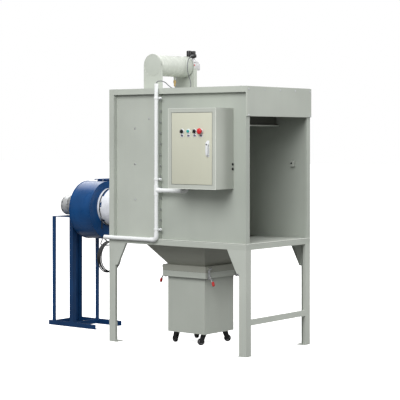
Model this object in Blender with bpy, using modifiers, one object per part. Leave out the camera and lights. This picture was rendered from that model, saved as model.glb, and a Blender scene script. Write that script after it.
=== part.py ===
"""Open-front spray booth: cabinet on legs, hopper and wheeled bin, cartridge filters, fan on a stand.

Metres, +Z up. Places are given in the cabinet's own directions before ORIGIN is taken off:
X runs from the control box side (0) across the body, Y from the open front (0) to the back,
Z up from the floor.
"""

from math import cos, pi, radians, sin

import bmesh
import bpy
from mathutils import Matrix, Vector

# Clearances
GAP = 0.0003            # between pieces that touch
PLAY = 0.0006           # round a turning or sliding piece

# Cabinet body
BODY_WIDTH = 0.845
BODY_LENGTH = 1.350
ROOF_TOP = 2.000
SHEET = 0.002
PANEL_RECESS = 0.036    # side panels behind the outside plane
JOINT_Y = 0.839         # bolted joint between front and rear side panels
ROOF_LIP = 0.045
REAR_FLANGE = 0.048
JAMB = 0.047            # width of the front upright edges
JAMB_RETURN = 0.020
FLANGE_SET_BACK = 0.004
PAN_TOP = 0.835
PAN_LIP = 0.0165
FRAME_HEIGHT = 0.031
FRAME_FLANGE = 0.043
FASCIA_HEIGHT = 0.222
FASCIA_DEPTH = 0.012
BAFFLE_Y = 0.290
BAFFLE_BOTTOM = 1.710
BAFFLE_LIP = 0.022

# Legs
LEG = 0.065
LEG_LIP = 0.025
LEG_WALL = 0.003
FOOT = 0.078
FOOT_THICK = 0.005
GUSSET_REACH = 0.110    # beyond the leg
GUSSET_DROP = 0.175
GUSSET_TOE = 0.022
GUSSET_FOLD = 0.020
BRACE_BOTTOM = 0.2285
BRACE_HEIGHT = 0.0425
BRACE_DEPTH = 0.025

# Hopper and bin
HOPPER_Y = 0.755
HOPPER_TOP_X = 0.742
HOPPER_TOP_Y = 0.652
THROAT = 0.365
THROAT_Z = 0.620
COLLAR = 0.430
COLLAR_HEIGHT = 0.0455
HOPPER_WALL = 0.003
RIM_HEIGHT = 0.0465
SEAL = 0.0012           # between collar and rim
BIN_BODY = 0.370
BIN_BOTTOM = 0.090
BIN_WALL = 0.0025
LATCH_PITCH = 0.354     # between the two latches of one side
LATCH_WIDTH = 0.028
LATCH_PIN = 0.004
LATCH_STAND_OFF = 0.014
LATCH_DROP = 0.018      # pin below the collar's top
EAR = 0.004

# Casters
CASTER_SPACING = 0.270
WHEEL_RADIUS = 0.0275
WHEEL_WIDTH = 0.022
AXLE = 0.004
TRAIL = 0.022
KING_PIN = 0.005
FORK_WALL = 0.0025
CROWN_REACH = 0.019     # half of the fork's flat top
CROWN_INSET = 0.0004  # keeps the crown's faces off the cheeks' faces
SWIVEL_ANGLES = {"near_rear": 75, "near_front": 128, "far_front": -40, "far_rear": 70}

# Filters and air system
TUBE_SHEET_Y = 1.100
FILTER_RADIUS = 0.1625
FILTER_LENGTH = 0.540
FILTER_BORE = 0.110
FILTER_PITCH = 0.370
FILTER_MID_Z = 1.410
TANK_RADIUS = 0.084
TANK_MID_Y = 1.081
TANK_MID_Z = 2.194
TANK_LENGTH = 0.413
SUPPORT_WIDTH = 0.180
SUPPORT_SHEET = 0.003
SUPPORT_FLANGE = 0.040
NIPPLE = 0.017
VALVE_LENGTH = 0.0555
VALVE_DEPTH = 0.052
VALVE_HEIGHT = 0.092
VALVE_BELOW = 0.020     # from the pipes' axis down to the body's underside
COIL_RADIUS = 0.0205
COIL_HEIGHT = 0.060
COIL_NECK = 0.007       # bare stem under the coil
BLOW_PIPE = 0.0135
BLOW_PIPE_Y = 1.215

# Control box
BOX_WIDTH = 0.450
BOX_HEIGHT = 0.600
BOX_DEPTH = 0.218
BOX_SHEET = 0.002
BOX_MID_Y = 0.3658
BOX_MID_Z = 1.5365
DOOR_MARGIN = 0.030
DOOR_GAP = 0.004
DOOR_SHEET = 0.003
BUTTON_PITCH = 0.060
BUTTON_Z = 1.665
SHANK = 0.011
STOP_RADIUS = 0.0225
STOP_PROUD = 0.035
HANDLE_HEIGHT = 0.108
HANDLE_WIDTH = 0.024

# Conduit
CONDUIT = 0.016         # radius
CONDUIT_X = -0.0185
CONDUIT_TOP = 2.035
CONDUIT_LOW = 0.828
CONDUIT_END_Y = BODY_LENGTH + 0.034
BRANCH_Z = 1.212
BRANCH_END_Y = 0.595
GLAND_Y = 0.540

# Fan
FAN_X = 0.585
FAN_Z = 1.030
FAN_FRONT_Y = 1.873
FAN_WIDTH = 0.240
FAN_WALL = 0.003
SCROLL_START = 0.213    # radius at the top
SCROLL_GROWTH = 0.096   # added in three quarters of a turn
OUTLET_LEFT = 0.110     # from the axis
OUTLET_TOP = 1.246
OUTLET_RIM = 0.022
OUTLET_RIM_THICK = 0.014
INLET_RADIUS = 0.150
SPIGOT = 0.045
DUCT_RADIUS = 0.160
DUCT_WALL = 0.003
WHEEL_DISC = 0.185
HUB = 0.030
SHAFT = 0.012
MOTOR_RADIUS = 0.084
MOTOR_LENGTH = 0.270
SHAFT_HEIGHT = 0.090
TERMINAL_SIZE = (0.050, 0.090, 0.085)

# Fan stand
STAND_NEAR = 0.175     # from the fan's axis to each side
STAND_FAR = 0.157
STAND_START_Y = 1.877
STAND_END_Y = 2.424
POST_START_Y = 2.138
POST_END_Y = 2.380
ANGLE = 0.040
ANGLE_WALL = 0.004
PLATE_THICK = 0.005

# Cables
VALVE_CABLE = 0.0035    # radius
FAN_CABLE = 0.0045
COIL_MID = (0.060, BODY_LENGTH + 0.052, 0.668)
COIL_RING = 0.118
COIL_TURNS = 5
COIL_THICK = 0.018      # the bundle's depth, measured from its middle circle

# What follows from the sizes above
BODY_MID_X = BODY_WIDTH / 2
FRAME_TOP = PAN_TOP - PAN_LIP - GAP
FRAME_BOTTOM = FRAME_TOP - FRAME_HEIGHT
PANEL_BOTTOM = PAN_TOP + GAP
PANEL_TOP = ROOF_TOP - SHEET - GAP
BOX_FRONT_X = PANEL_RECESS - GAP - BOX_DEPTH
BOX_LOW_Y = BOX_MID_Y - BOX_WIDTH / 2
BOX_LOW_Z = BOX_MID_Z - BOX_HEIGHT / 2
OUTLET_RIGHT = SCROLL_START + SCROLL_GROWTH
PLATE_TOP = FAN_Z - SHAFT_HEIGHT - GAP
RIM_TOP = THROAT_Z - COLLAR_HEIGHT - SEAL
RIM_BOTTOM = RIM_TOP - RIM_HEIGHT
X_LOW = BOX_FRONT_X - STOP_PROUD
X_HIGH = FAN_X + OUTLET_RIGHT + OUTLET_RIM
ORIGIN = Vector(((X_LOW + X_HIGH) / 2, (STAND_END_Y - FASCIA_DEPTH) / 2, 0))

COLOURS = {
    "sheet grey": ((0.46, 0.48, 0.43), 0.45, 0.1),
    "door beige": ((0.55, 0.55, 0.46), 0.45, 0.1),
    "blue": ((0.02, 0.07, 0.22), 0.35, 0.2),
    "steel": ((0.55, 0.55, 0.56), 0.35, 0.9),
    "black": ((0.02, 0.02, 0.02), 0.5, 0.0),
    "white": ((0.85, 0.86, 0.86), 0.4, 0.0),
    "red": ((0.55, 0.03, 0.04), 0.35, 0.0),
    "green": ((0.02, 0.42, 0.36), 0.35, 0.0),
    "cloth": ((0.8, 0.8, 0.8), 0.9, 0.0),
}


def clear_scene():
    for obj in list(bpy.data.objects):
        bpy.data.objects.remove(obj)


def new_collection(name):
    collection = bpy.data.collections.new(name)
    bpy.context.scene.collection.children.link(collection)
    return collection


def make_material(name, colour, roughness, metallic):
    material = bpy.data.materials.new(name)
    material.use_nodes = True
    shader = material.node_tree.nodes["Principled BSDF"]
    shader.inputs["Base Color"].default_value = (*colour, 1)
    shader.inputs["Roughness"].default_value = roughness
    shader.inputs["Metallic"].default_value = metallic
    return material


def part_material(part, colour):
    """Each part has a material of its own, in one of the shared colours."""
    part.data.materials.append(make_material(part.name, *COLOURS[colour]))


def finish_mesh(build, name):
    mesh = bpy.data.meshes.new(name)
    build.to_mesh(mesh)
    build.free()
    return mesh


def box(low, high):
    """A box between two corners."""
    low, high = Vector(low), Vector(high)
    build = bmesh.new()
    bmesh.ops.create_cube(build, size=1)
    bmesh.ops.scale(build, vec=high - low, verts=build.verts)
    bmesh.ops.translate(build, vec=(low + high) / 2 - ORIGIN, verts=build.verts)
    return finish_mesh(build, "box")


def centred_box(middle, size):
    half = Vector(size) / 2
    return box(Vector(middle) - half, Vector(middle) + half)


AXIS_TURN = {
    "X": Matrix.Rotation(radians(90), 4, "Y"),
    "Y": Matrix.Rotation(radians(-90), 4, "X"),
    "Z": Matrix.Identity(4),
}


def rod(start, axis, length, radius, segments=20, end_radius=None):
    """A cylinder or cone from start along +axis."""
    build = bmesh.new()
    bmesh.ops.create_cone(
        build, cap_ends=True, segments=segments, depth=length,
        radius1=radius, radius2=radius if end_radius is None else end_radius,
    )
    bmesh.ops.translate(build, vec=(0, 0, length / 2), verts=build.verts)
    build.transform(Matrix.Translation(Vector(start) - ORIGIN) @ AXIS_TURN[axis])
    mesh = finish_mesh(build, "rod")
    mesh.shade_smooth()
    mesh.set_sharp_from_angle(angle=radians(40))
    return mesh


def frustum(low_size, low_z, high_size, high_z, mid_x, mid_y):
    """A four-sided block whose plan goes from low_size to high_size."""
    build = bmesh.new()
    bmesh.ops.create_cube(build, size=1)
    for vertex in build.verts:
        size, z = (high_size, high_z) if vertex.co.z > 0 else (low_size, low_z)
        vertex.co = Vector((mid_x + vertex.co.x * size[0], mid_y + vertex.co.y * size[1], z)) - ORIGIN
    return finish_mesh(build, "frustum")


def slab(outline, axis, start, thick):
    """A flat outline in the plane across axis, extruded from start along +axis."""
    place = {
        "X": lambda a, b, c: (c, a, b),
        "Y": lambda a, b, c: (a, c, b),
        "Z": lambda a, b, c: (a, b, c),
    }[axis]
    build = bmesh.new()
    ring = [build.verts.new(Vector(place(a, b, start)) - ORIGIN) for a, b in outline]
    face = build.faces.new(ring)
    moved = bmesh.ops.extrude_face_region(build, geom=[face])["geom"]
    step = Vector(place(0, 0, thick))
    bmesh.ops.translate(build, vec=step, verts=[v for v in moved if isinstance(v, bmesh.types.BMVert)])
    bmesh.ops.recalc_face_normals(build, faces=build.faces)
    return finish_mesh(build, "slab")


class Shop:
    """The two collections, and the part being made."""

    def __init__(self):
        self.parts = new_collection("spray_booth")
        self.tools = new_collection("tools")

    def part(self, name, mesh, colour, pivot=None):
        """A named part. With a pivot its origin lies there."""
        if pivot is not None:
            place = Vector(pivot) - ORIGIN
            mesh.transform(Matrix.Translation(-place))
        obj = bpy.data.objects.new(name, mesh)
        if pivot is not None:
            obj.location = place
        self.parts.objects.link(obj)
        part_material(obj, colour)
        return obj

    def tool(self, part, mesh):
        obj = bpy.data.objects.new(part.name + "_tool", mesh)
        self.tools.objects.link(obj)
        obj.hide_render = True
        obj.display_type = "WIRE"
        return obj

    def change(self, part, operation, meshes):
        for mesh in meshes:
            modifier = part.modifiers.new(operation.lower(), "BOOLEAN")
            modifier.operation = operation
            modifier.object = self.tool(part, mesh)

    def join(self, part, *meshes):
        self.change(part, "UNION", meshes)

    def cut(self, part, *meshes):
        self.change(part, "DIFFERENCE", meshes)

    def turned(self, name, profile, colour, middle, axis="Z", segments=24, closed=False):
        """A profile of (radius, height) points turned about axis through middle.

        The points run down the outer side, from top to bottom.
        """
        mesh = bpy.data.meshes.new(name)
        edges = [(i, i + 1) for i in range(len(profile) - 1)]
        if closed:
            edges.append((len(profile) - 1, 0))
        mesh.from_pydata([(r, 0, h) for r, h in profile], edges, [])
        obj = bpy.data.objects.new(name, mesh)
        obj.location = Vector(middle) - ORIGIN
        obj.rotation_euler = AXIS_TURN[axis].to_euler()
        self.parts.objects.link(obj)
        part_material(obj, colour)
        screw = obj.modifiers.new("turn", "SCREW")
        screw.steps = segments
        screw.render_steps = segments
        screw.use_merge_vertices = True
        screw.merge_threshold = 0.00001
        screw.use_smooth_shade = True
        return obj

    def tube(self, name, points, radius, colour, smooth_per_span=0):
        """A round bar along points. With smooth_per_span it follows a smooth curve through them."""
        route = smooth_route(points, smooth_per_span) if smooth_per_span else [Vector(p) for p in points]
        data = bpy.data.curves.new(name, "CURVE")
        data.dimensions = "3D"
        data.bevel_depth = radius
        data.bevel_resolution = 2
        data.use_fill_caps = True
        line = data.splines.new("POLY")
        line.points.add(len(route) - 1)
        for point, place in zip(line.points, route):
            point.co = (*(place - ORIGIN), 1)
        obj = bpy.data.objects.new(name, data)
        self.parts.objects.link(obj)
        part_material(obj, colour)
        return obj

    def tube_mesh(self, points, radius):
        """The same bar as a closed mesh, for joining and cutting."""
        curve = self.tube("bar", points, radius, "steel")
        graph = bpy.context.evaluated_depsgraph_get()
        mesh = bpy.data.meshes.new_from_object(curve.evaluated_get(graph))
        build = bmesh.new()
        build.from_mesh(mesh)
        bmesh.ops.remove_doubles(build, verts=build.verts, dist=0.00001)
        bmesh.ops.recalc_face_normals(build, faces=build.faces)
        build.transform(curve.matrix_world)
        bpy.data.objects.remove(curve)
        closed = finish_mesh(build, "bar")
        closed.materials.clear()
        return closed


def smooth_route(points, per_span):
    """Points on a Catmull-Rom curve through the given ones."""
    knots = [Vector(p) for p in points]
    padded = [2 * knots[0] - knots[1], *knots, 2 * knots[-1] - knots[-2]]
    route = []
    for a, b, c, d in zip(padded, padded[1:], padded[2:], padded[3:]):
        for step in range(per_span):
            t = step / per_span
            route.append(
                0.5 * (2 * b + (c - a) * t + (2 * a - 5 * b + 4 * c - d) * t**2 + (3 * b - a - 3 * c + d) * t**3)
            )
    route.append(knots[-1])
    return route


def mirrored(mesh):
    """The same mesh on the other side of the body."""
    build = bmesh.new()
    build.from_mesh(mesh)
    middle = BODY_MID_X - ORIGIN.x
    for vertex in build.verts:
        vertex.co.x = 2 * middle - vertex.co.x
    bmesh.ops.reverse_faces(build, faces=build.faces)
    return finish_mesh(build, mesh.name)


def swung(mesh, pivot, angle):
    """The mesh turned about the vertical through pivot."""
    middle = Vector(pivot) - ORIGIN
    mesh.transform(
        Matrix.Translation(middle) @ Matrix.Rotation(angle, 4, "Z") @ Matrix.Translation(-middle)
    )
    return mesh


def mirrored_front_to_back(mesh, middle_y):
    build = bmesh.new()
    build.from_mesh(mesh)
    for vertex in build.verts:
        vertex.co.y = 2 * (middle_y - ORIGIN.y) - vertex.co.y
    bmesh.ops.reverse_faces(build, faces=build.faces)
    return finish_mesh(build, mesh.name)


# ---- Frame ----


def leg_section():
    """Plan of a folded leg at the near front corner: two flanges with lips turned in."""
    w, lip, t = LEG, LEG_LIP, LEG_WALL
    return [
        (0, 0), (w, 0), (w, lip), (w - t, lip), (w - t, t),
        (t, t), (t, w - t), (lip, w - t), (lip, w), (0, w),
    ]


def leg_meshes():
    """Leg, foot plate, gusset and the gusset's folded edge, at the near front corner."""
    top = FRAME_BOTTOM - GAP
    post = slab(leg_section(), "Z", FOOT_THICK / 2, top - FOOT_THICK / 2)
    foot = box((0, 0, 0), (FOOT, FOOT, FOOT_THICK))
    root = LEG - LEG_WALL
    reach = LEG + GUSSET_REACH
    toe = LEG + GUSSET_TOE
    low = top - GUSSET_DROP
    gusset = slab([(root, top), (reach, top), (toe, low), (root, low)], "X", 0, LEG_WALL)
    fold = slab(
        [(reach - LEG_WALL, top), (reach, top), (toe, low), (toe - LEG_WALL, low)], "X", 0, GUSSET_FOLD
    )
    return [post, foot, gusset, fold]


def make_legs(shop):
    for name, far, rear in (
        ("leg_front_left", False, False),
        ("leg_front_right", True, False),
        ("leg_rear_left", False, True),
        ("leg_rear_right", True, True),
    ):
        meshes = leg_meshes()
        if far:
            meshes = [mirrored(mesh) for mesh in meshes]
        if rear:
            meshes = [mirrored_front_to_back(mesh, BODY_LENGTH / 2) for mesh in meshes]
        leg = shop.part(name, meshes[0], "sheet grey")
        shop.join(leg, *meshes[1:])


def make_base_frame(shop):
    low, high = FRAME_BOTTOM, FRAME_TOP
    wall = LEG_WALL
    frame = shop.part("base_frame", box((0, 0, low), (BODY_WIDTH, BODY_LENGTH, high)), "sheet grey")
    shop.cut(
        frame,
        box(
            (FRAME_FLANGE, FRAME_FLANGE, low - 0.01),
            (BODY_WIDTH - FRAME_FLANGE, BODY_LENGTH - FRAME_FLANGE, high + 0.01),
        ),
        box((wall, wall, low + wall), (BODY_WIDTH - wall, BODY_LENGTH - wall, high - wall)),
    )


def make_floor_pan(shop):
    low = PAN_TOP - PAN_LIP
    pan = shop.part("floor_pan", box((0, 0, low), (BODY_WIDTH, BODY_LENGTH, PAN_TOP)), "sheet grey")
    shop.cut(
        pan,
        box((SHEET, SHEET, low - 0.01), (BODY_WIDTH - SHEET, BODY_LENGTH - SHEET, PAN_TOP - SHEET)),
        centred_box(
            (BODY_MID_X, HOPPER_Y, PAN_TOP), (HOPPER_TOP_X - 0.02, HOPPER_TOP_Y - 0.02, 0.05)
        ),
    )


def make_front_brace(shop):
    start = LEG + GAP
    end = BODY_WIDTH - LEG - GAP
    high = BRACE_BOTTOM + BRACE_HEIGHT
    wall = LEG_WALL
    brace = shop.part(
        "front_brace", box((start, GAP, BRACE_BOTTOM), (end, GAP + BRACE_DEPTH, high)), "sheet grey"
    )
    shop.cut(
        brace,
        box(
            (start - 0.01, GAP + wall, BRACE_BOTTOM + wall),
            (end + 0.01, GAP + BRACE_DEPTH - wall, high - wall),
        ),
    )


# ---- Hopper and bin ----


def latch_pin_z():
    return THROAT_Z - LATCH_DROP


def latch_places():
    """Name, X of the latch, and +1 on the rear face or -1 on the front one."""
    near = BODY_MID_X - LATCH_PITCH / 2
    far = BODY_MID_X + LATCH_PITCH / 2
    return [
        ("latch_front_near", near, -1),
        ("latch_front_far", far, -1),
        ("latch_rear_near", near, 1),
        ("latch_rear_far", far, 1),
    ]


def make_hopper(shop):
    top = PAN_TOP - SHEET - GAP
    wall = HOPPER_WALL
    outer = (HOPPER_TOP_X, HOPPER_TOP_Y)
    inner = (HOPPER_TOP_X - 2 * wall, HOPPER_TOP_Y - 2 * wall)
    throat_in = THROAT - 2 * wall
    hopper = shop.part(
        "hopper",
        frustum((THROAT, THROAT), THROAT_Z - wall / 2, outer, top, BODY_MID_X, HOPPER_Y),
        "sheet grey",
    )
    shop.join(
        hopper,
        centred_box(
            (BODY_MID_X, HOPPER_Y, THROAT_Z - COLLAR_HEIGHT / 2), (COLLAR, COLLAR, COLLAR_HEIGHT)
        ),
    )
    shop.cut(
        hopper,
        frustum(
            (throat_in, throat_in), THROAT_Z - wall, inner, top + 0.0005, BODY_MID_X, HOPPER_Y
        ),
        centred_box(
            (BODY_MID_X, HOPPER_Y, THROAT_Z - COLLAR_HEIGHT / 2 - wall),
            (COLLAR - 2 * wall, COLLAR - 2 * wall, COLLAR_HEIGHT),
        ),
        centred_box((BODY_MID_X, HOPPER_Y, THROAT_Z), (throat_in, throat_in, 4 * wall)),
    )
    pin_z = latch_pin_z()
    for _, x, side in latch_places():
        face = HOPPER_Y + side * COLLAR / 2
        reach = face + side * (LATCH_STAND_OFF + 0.006)
        for edge in (-1, 1):
            middle = x + edge * (LATCH_WIDTH / 2 + PLAY + EAR / 2)
            low_y, high_y = sorted((face - side * wall / 2, reach))
            shop.join(
                hopper,
                box((middle - EAR / 2, low_y, pin_z - 0.009), (middle + EAR / 2, high_y, pin_z + 0.009)),
            )
        shop.cut(
            hopper,
            rod(
                (x - LATCH_WIDTH, face + side * LATCH_STAND_OFF, pin_z), "X",
                2 * LATCH_WIDTH, LATCH_PIN + PLAY, 16,
            ),
        )


def make_latches(shop):
    """Swing latches hung on the collar: a hook under the bin's rim and a grip that stands off."""
    pin_z = latch_pin_z()
    hook_low = RIM_BOTTOM - 0.010
    for name, x, side in latch_places():
        face = HOPPER_Y + side * COLLAR / 2
        pin_y = face + side * LATCH_STAND_OFF
        front = face + side * 0.004
        thick = 0.004
        low_x, high_x = x - LATCH_WIDTH / 2, x + LATCH_WIDTH / 2
        hook = [
            (front, pin_z + 0.004), (front + side * thick, pin_z + 0.004),
            (front + side * thick, hook_low), (face - side * 0.012, hook_low),
            (face - side * 0.012, hook_low + thick), (front, hook_low + thick),
        ]
        knee = (front + side * thick / 2, pin_z - 0.052)
        arm_end = (face + side * 0.040, pin_z - 0.100)
        grip_end = (face + side * 0.050, pin_z - 0.142)
        arm = [
            knee, (knee[0], knee[1] + 0.006), (arm_end[0] + side * 0.003, arm_end[1] + 0.002),
            (grip_end[0] + side * 0.003, grip_end[1]), (grip_end[0] - side * 0.001, grip_end[1]),
            (arm_end[0] - side * 0.001, arm_end[1]),
        ]
        latch = shop.part(
            name, slab(hook, "X", low_x, LATCH_WIDTH), "steel", pivot=(x, pin_y, pin_z)
        )
        grip_mid = ((arm_end[0] + grip_end[0]) / 2 + side * 0.001, (arm_end[1] + grip_end[1]) / 2)
        shop.join(
            latch,
            slab(arm, "X", low_x + 0.004, LATCH_WIDTH - 0.008),
            rod((low_x, pin_y, pin_z), "X", LATCH_WIDTH, 0.008, 16),
            rod((x - LATCH_WIDTH / 2 - EAR, pin_y, pin_z), "X", LATCH_WIDTH + 2 * EAR, LATCH_PIN, 16),
            box(
                (low_x, grip_mid[0] - 0.007, grip_mid[1] - 0.024),
                (high_x, grip_mid[0] + 0.007, grip_mid[1] + 0.024),
            ),
        )


def make_bin(shop):
    wall = BIN_WALL
    shell = shop.part(
        "bin_shell",
        centred_box(
            (BODY_MID_X, HOPPER_Y, (BIN_BOTTOM + RIM_TOP) / 2), (BIN_BODY, BIN_BODY, RIM_TOP - BIN_BOTTOM)
        ),
        "sheet grey",
    )
    shop.join(
        shell,
        centred_box((BODY_MID_X, HOPPER_Y, RIM_TOP - wall / 2), (COLLAR, COLLAR, wall)),
        *(
            centred_box(
                (BODY_MID_X + dx * (COLLAR - wall) / 2, HOPPER_Y + dy * (COLLAR - wall) / 2,
                 (RIM_TOP + RIM_BOTTOM) / 2),
                (wall if dx else COLLAR, wall if dy else COLLAR, RIM_HEIGHT),
            )
            for dx, dy in ((-1, 0), (1, 0), (0, -1), (0, 1))
        ),
    )
    shop.cut(
        shell,
        centred_box(
            (BODY_MID_X, HOPPER_Y, (BIN_BOTTOM + RIM_TOP) / 2 + wall),
            (BIN_BODY - 2 * wall, BIN_BODY - 2 * wall, RIM_TOP - BIN_BOTTOM),
        ),
    )
    for x, y in caster_places().values():
        shop.join(shell, centred_box((x, y, BIN_BOTTOM - 0.001), (0.058, 0.058, 0.004)))
    for x, y in caster_places().values():
        shop.cut(shell, rod((x, y, BIN_BOTTOM - 0.02), "Z", 0.0201, KING_PIN + PLAY, 12))


def caster_places():
    half = CASTER_SPACING / 2
    return {
        "near_rear": (BODY_MID_X - half, HOPPER_Y + half),
        "near_front": (BODY_MID_X - half, HOPPER_Y - half),
        "far_front": (BODY_MID_X + half, HOPPER_Y - half),
        "far_rear": (BODY_MID_X + half, HOPPER_Y + half),
    }


def make_casters(shop):
    """Fork with crown, cheeks, axle and king pin, and its wheel."""
    crown_top = BIN_BOTTOM - 0.003 - PLAY
    crown_low = crown_top - 0.004
    cheek_in = WHEEL_WIDTH / 2 + 0.0015
    for place, (x, y) in caster_places().items():
        angle = radians(SWIVEL_ANGLES[place])
        axle_x = x + TRAIL
        cheek = [
            (x - CROWN_REACH, crown_top), (x + CROWN_REACH, crown_top), (axle_x + 0.010, WHEEL_RADIUS - 0.004),
            (axle_x + 0.004, WHEEL_RADIUS - 0.010), (axle_x - 0.004, WHEEL_RADIUS - 0.010),
        ]
        reach = cheek_in + FORK_WALL / 2
        pieces = [
            box((x - CROWN_REACH + CROWN_INSET, y - reach, crown_low),
                (x + CROWN_REACH - CROWN_INSET, y + reach, crown_top - CROWN_INSET)),
            slab(cheek, "Y", y - cheek_in - FORK_WALL, FORK_WALL),
            slab(cheek, "Y", y + cheek_in, FORK_WALL),
            rod((axle_x, y - reach, WHEEL_RADIUS), "Y", 2 * reach, AXLE, 12),
            rod((x, y, crown_low + CROWN_INSET), "Z", BIN_BOTTOM - PLAY - crown_low - CROWN_INSET, KING_PIN, 12),
        ]
        pieces = [swung(mesh, (x, y, 0), angle) for mesh in pieces]
        fork = shop.part("caster_fork_" + place, pieces[0], "steel", pivot=(x, y, 0))
        shop.join(fork, *pieces[1:])
        outer, hub, half = WHEEL_RADIUS, AXLE + PLAY, WHEEL_WIDTH / 2
        profile = [
            (hub, half), (0.012, half), (outer - 0.004, half * 0.85), (outer, half * 0.45),
            (outer, -half * 0.45), (outer - 0.004, -half * 0.85), (0.012, -half), (hub, -half),
        ]
        middle = Vector((x, y, WHEEL_RADIUS)) + Matrix.Rotation(angle, 3, "Z") @ Vector((TRAIL, 0, 0))
        wheel = shop.turned(
            "caster_wheel_" + place, profile, "black", middle, "Y", segments=20, closed=True
        )
        wheel.rotation_euler = (Matrix.Rotation(angle, 4, "Z") @ AXIS_TURN["Y"]).to_euler()


# ---- Cabinet ----


def front_panel_meshes():
    """Near-side front panel: sheet, front jamb with its return, joint flange and bottom lip."""
    end = JOINT_Y - GAP / 2
    inner = PANEL_RECESS + SHEET
    low, high = PANEL_BOTTOM, PANEL_TOP
    under_roof = ROOF_TOP - ROOF_LIP - GAP
    return [
        box((PANEL_RECESS, 0, low), (inner, end, high)),
        box((0, 0, low), (JAMB, SHEET, under_roof)),
        box((JAMB - SHEET, 0, low), (JAMB, JAMB_RETURN, under_roof)),
        box((FLANGE_SET_BACK, end - SHEET, low), (inner, end, under_roof)),
        box((FLANGE_SET_BACK, 0, low), (inner, end, low + SHEET)),
    ]


def rear_panel_meshes():
    """Near-side rear panel: sheet with a flange at the joint, at the back and along the bottom."""
    start = JOINT_Y + GAP / 2
    end = BODY_LENGTH - REAR_FLANGE - GAP
    inner = PANEL_RECESS + SHEET
    low, high = PANEL_BOTTOM, PANEL_TOP
    under_roof = ROOF_TOP - ROOF_LIP - GAP
    return [
        box((PANEL_RECESS, start, low), (inner, end, high)),
        box((FLANGE_SET_BACK, start, low), (inner, start + SHEET, under_roof)),
        box((FLANGE_SET_BACK, end - SHEET, low), (inner, end, under_roof)),
        box((FLANGE_SET_BACK, start, low), (inner, end, low + SHEET)),
    ]


def make_side_panels(shop):
    for name, meshes in (
        ("side_panel_left_front", front_panel_meshes()),
        ("side_panel_left_rear", rear_panel_meshes()),
        ("side_panel_right_front", [mirrored(mesh) for mesh in front_panel_meshes()]),
        ("side_panel_right_rear", [mirrored(mesh) for mesh in rear_panel_meshes()]),
    ):
        panel = shop.part(name, meshes[0], "sheet grey")
        shop.join(panel, *meshes[1:])


def make_rear_panel(shop):
    """Back sheet with corner flanges, and the spigot that the duct slips over."""
    low, high = PANEL_BOTTOM, ROOF_TOP - ROOF_LIP - GAP
    back = BODY_LENGTH
    start = back - REAR_FLANGE
    panel = shop.part("rear_panel", box((0, back - SHEET, low), (BODY_WIDTH, back, high)), "sheet grey")
    corner = [
        box((0, start, low), (SHEET, back, high)),
        box((0, start, low), (PANEL_RECESS - GAP, start + SHEET, high)),
    ]
    spigot = DUCT_RADIUS - DUCT_WALL - GAP
    shop.join(
        panel,
        *corner,
        *(mirrored(mesh) for mesh in corner),
        rod((FAN_X, back - SHEET, FAN_Z), "Y", SHEET + SPIGOT, spigot, 40),
    )
    shop.cut(panel, rod((FAN_X, back - 0.02, FAN_Z), "Y", 0.02 + SPIGOT + 0.01, spigot - SHEET, 40))


def pipe_places():
    """X of each blow pipe's drop through the roof, and the height of its filter."""
    first = BODY_MID_X + TANK_LENGTH / 2 + SUPPORT_SHEET + 0.018 + VALVE_LENGTH / 2
    return [
        ("upper", first, FILTER_MID_Z + FILTER_PITCH / 2),
        ("lower", first + VALVE_LENGTH, FILTER_MID_Z - FILTER_PITCH / 2),
    ]


def make_roof(shop):
    low = ROOF_TOP - ROOF_LIP
    roof = shop.part("roof_cap", box((0, 0, low), (BODY_WIDTH, BODY_LENGTH, ROOF_TOP)), "sheet grey")
    shop.cut(
        roof,
        box((SHEET, -0.01, low - 0.01), (BODY_WIDTH - SHEET, BODY_LENGTH - SHEET, ROOF_TOP - SHEET)),
        *(
            rod((x, BLOW_PIPE_Y, ROOF_TOP - 0.02), "Z", 0.04, BLOW_PIPE + PLAY, 16)
            for _, x, _ in pipe_places()
        ),
    )


def make_fascia(shop):
    low = ROOF_TOP - 0.002 - FASCIA_HEIGHT
    back = -GAP
    fascia = shop.part(
        "header_fascia",
        box((0, -FASCIA_DEPTH, low), (BODY_WIDTH, back, ROOF_TOP - 0.002)),
        "sheet grey",
    )
    shop.cut(
        fascia,
        box(
            (SHEET, SHEET - FASCIA_DEPTH, low + SHEET),
            (BODY_WIDTH - SHEET, 0.01, ROOF_TOP - 0.002 - SHEET),
        ),
    )


def make_baffle(shop):
    side = JAMB + GAP
    low, high = BAFFLE_BOTTOM, PANEL_TOP
    baffle = shop.part(
        "baffle_plate",
        box((side, BAFFLE_Y, low), (BODY_WIDTH - side, BAFFLE_Y + SHEET, high)),
        "sheet grey",
    )
    shop.join(
        baffle,
        box((side, BAFFLE_Y - BAFFLE_LIP, low), (BODY_WIDTH - side, BAFFLE_Y + SHEET, low + SHEET)),
    )


def make_tube_sheet(shop):
    side = PANEL_RECESS + SHEET + GAP
    sheet = shop.part(
        "tube_sheet",
        box(
            (side, TUBE_SHEET_Y, PANEL_BOTTOM),
            (BODY_WIDTH - side, TUBE_SHEET_Y + SHEET, PANEL_TOP),
        ),
        "sheet grey",
    )
    edge = box((side, TUBE_SHEET_Y, PANEL_BOTTOM), (side + SHEET, TUBE_SHEET_Y + 0.03, PANEL_TOP))
    shop.join(sheet, edge, mirrored(edge))
    shop.cut(
        sheet,
        *(
            rod((BODY_MID_X, TUBE_SHEET_Y - 0.01, z), "Y", 0.03, FILTER_BORE, 32)
            for _, _, z in pipe_places()
        ),
    )


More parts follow.
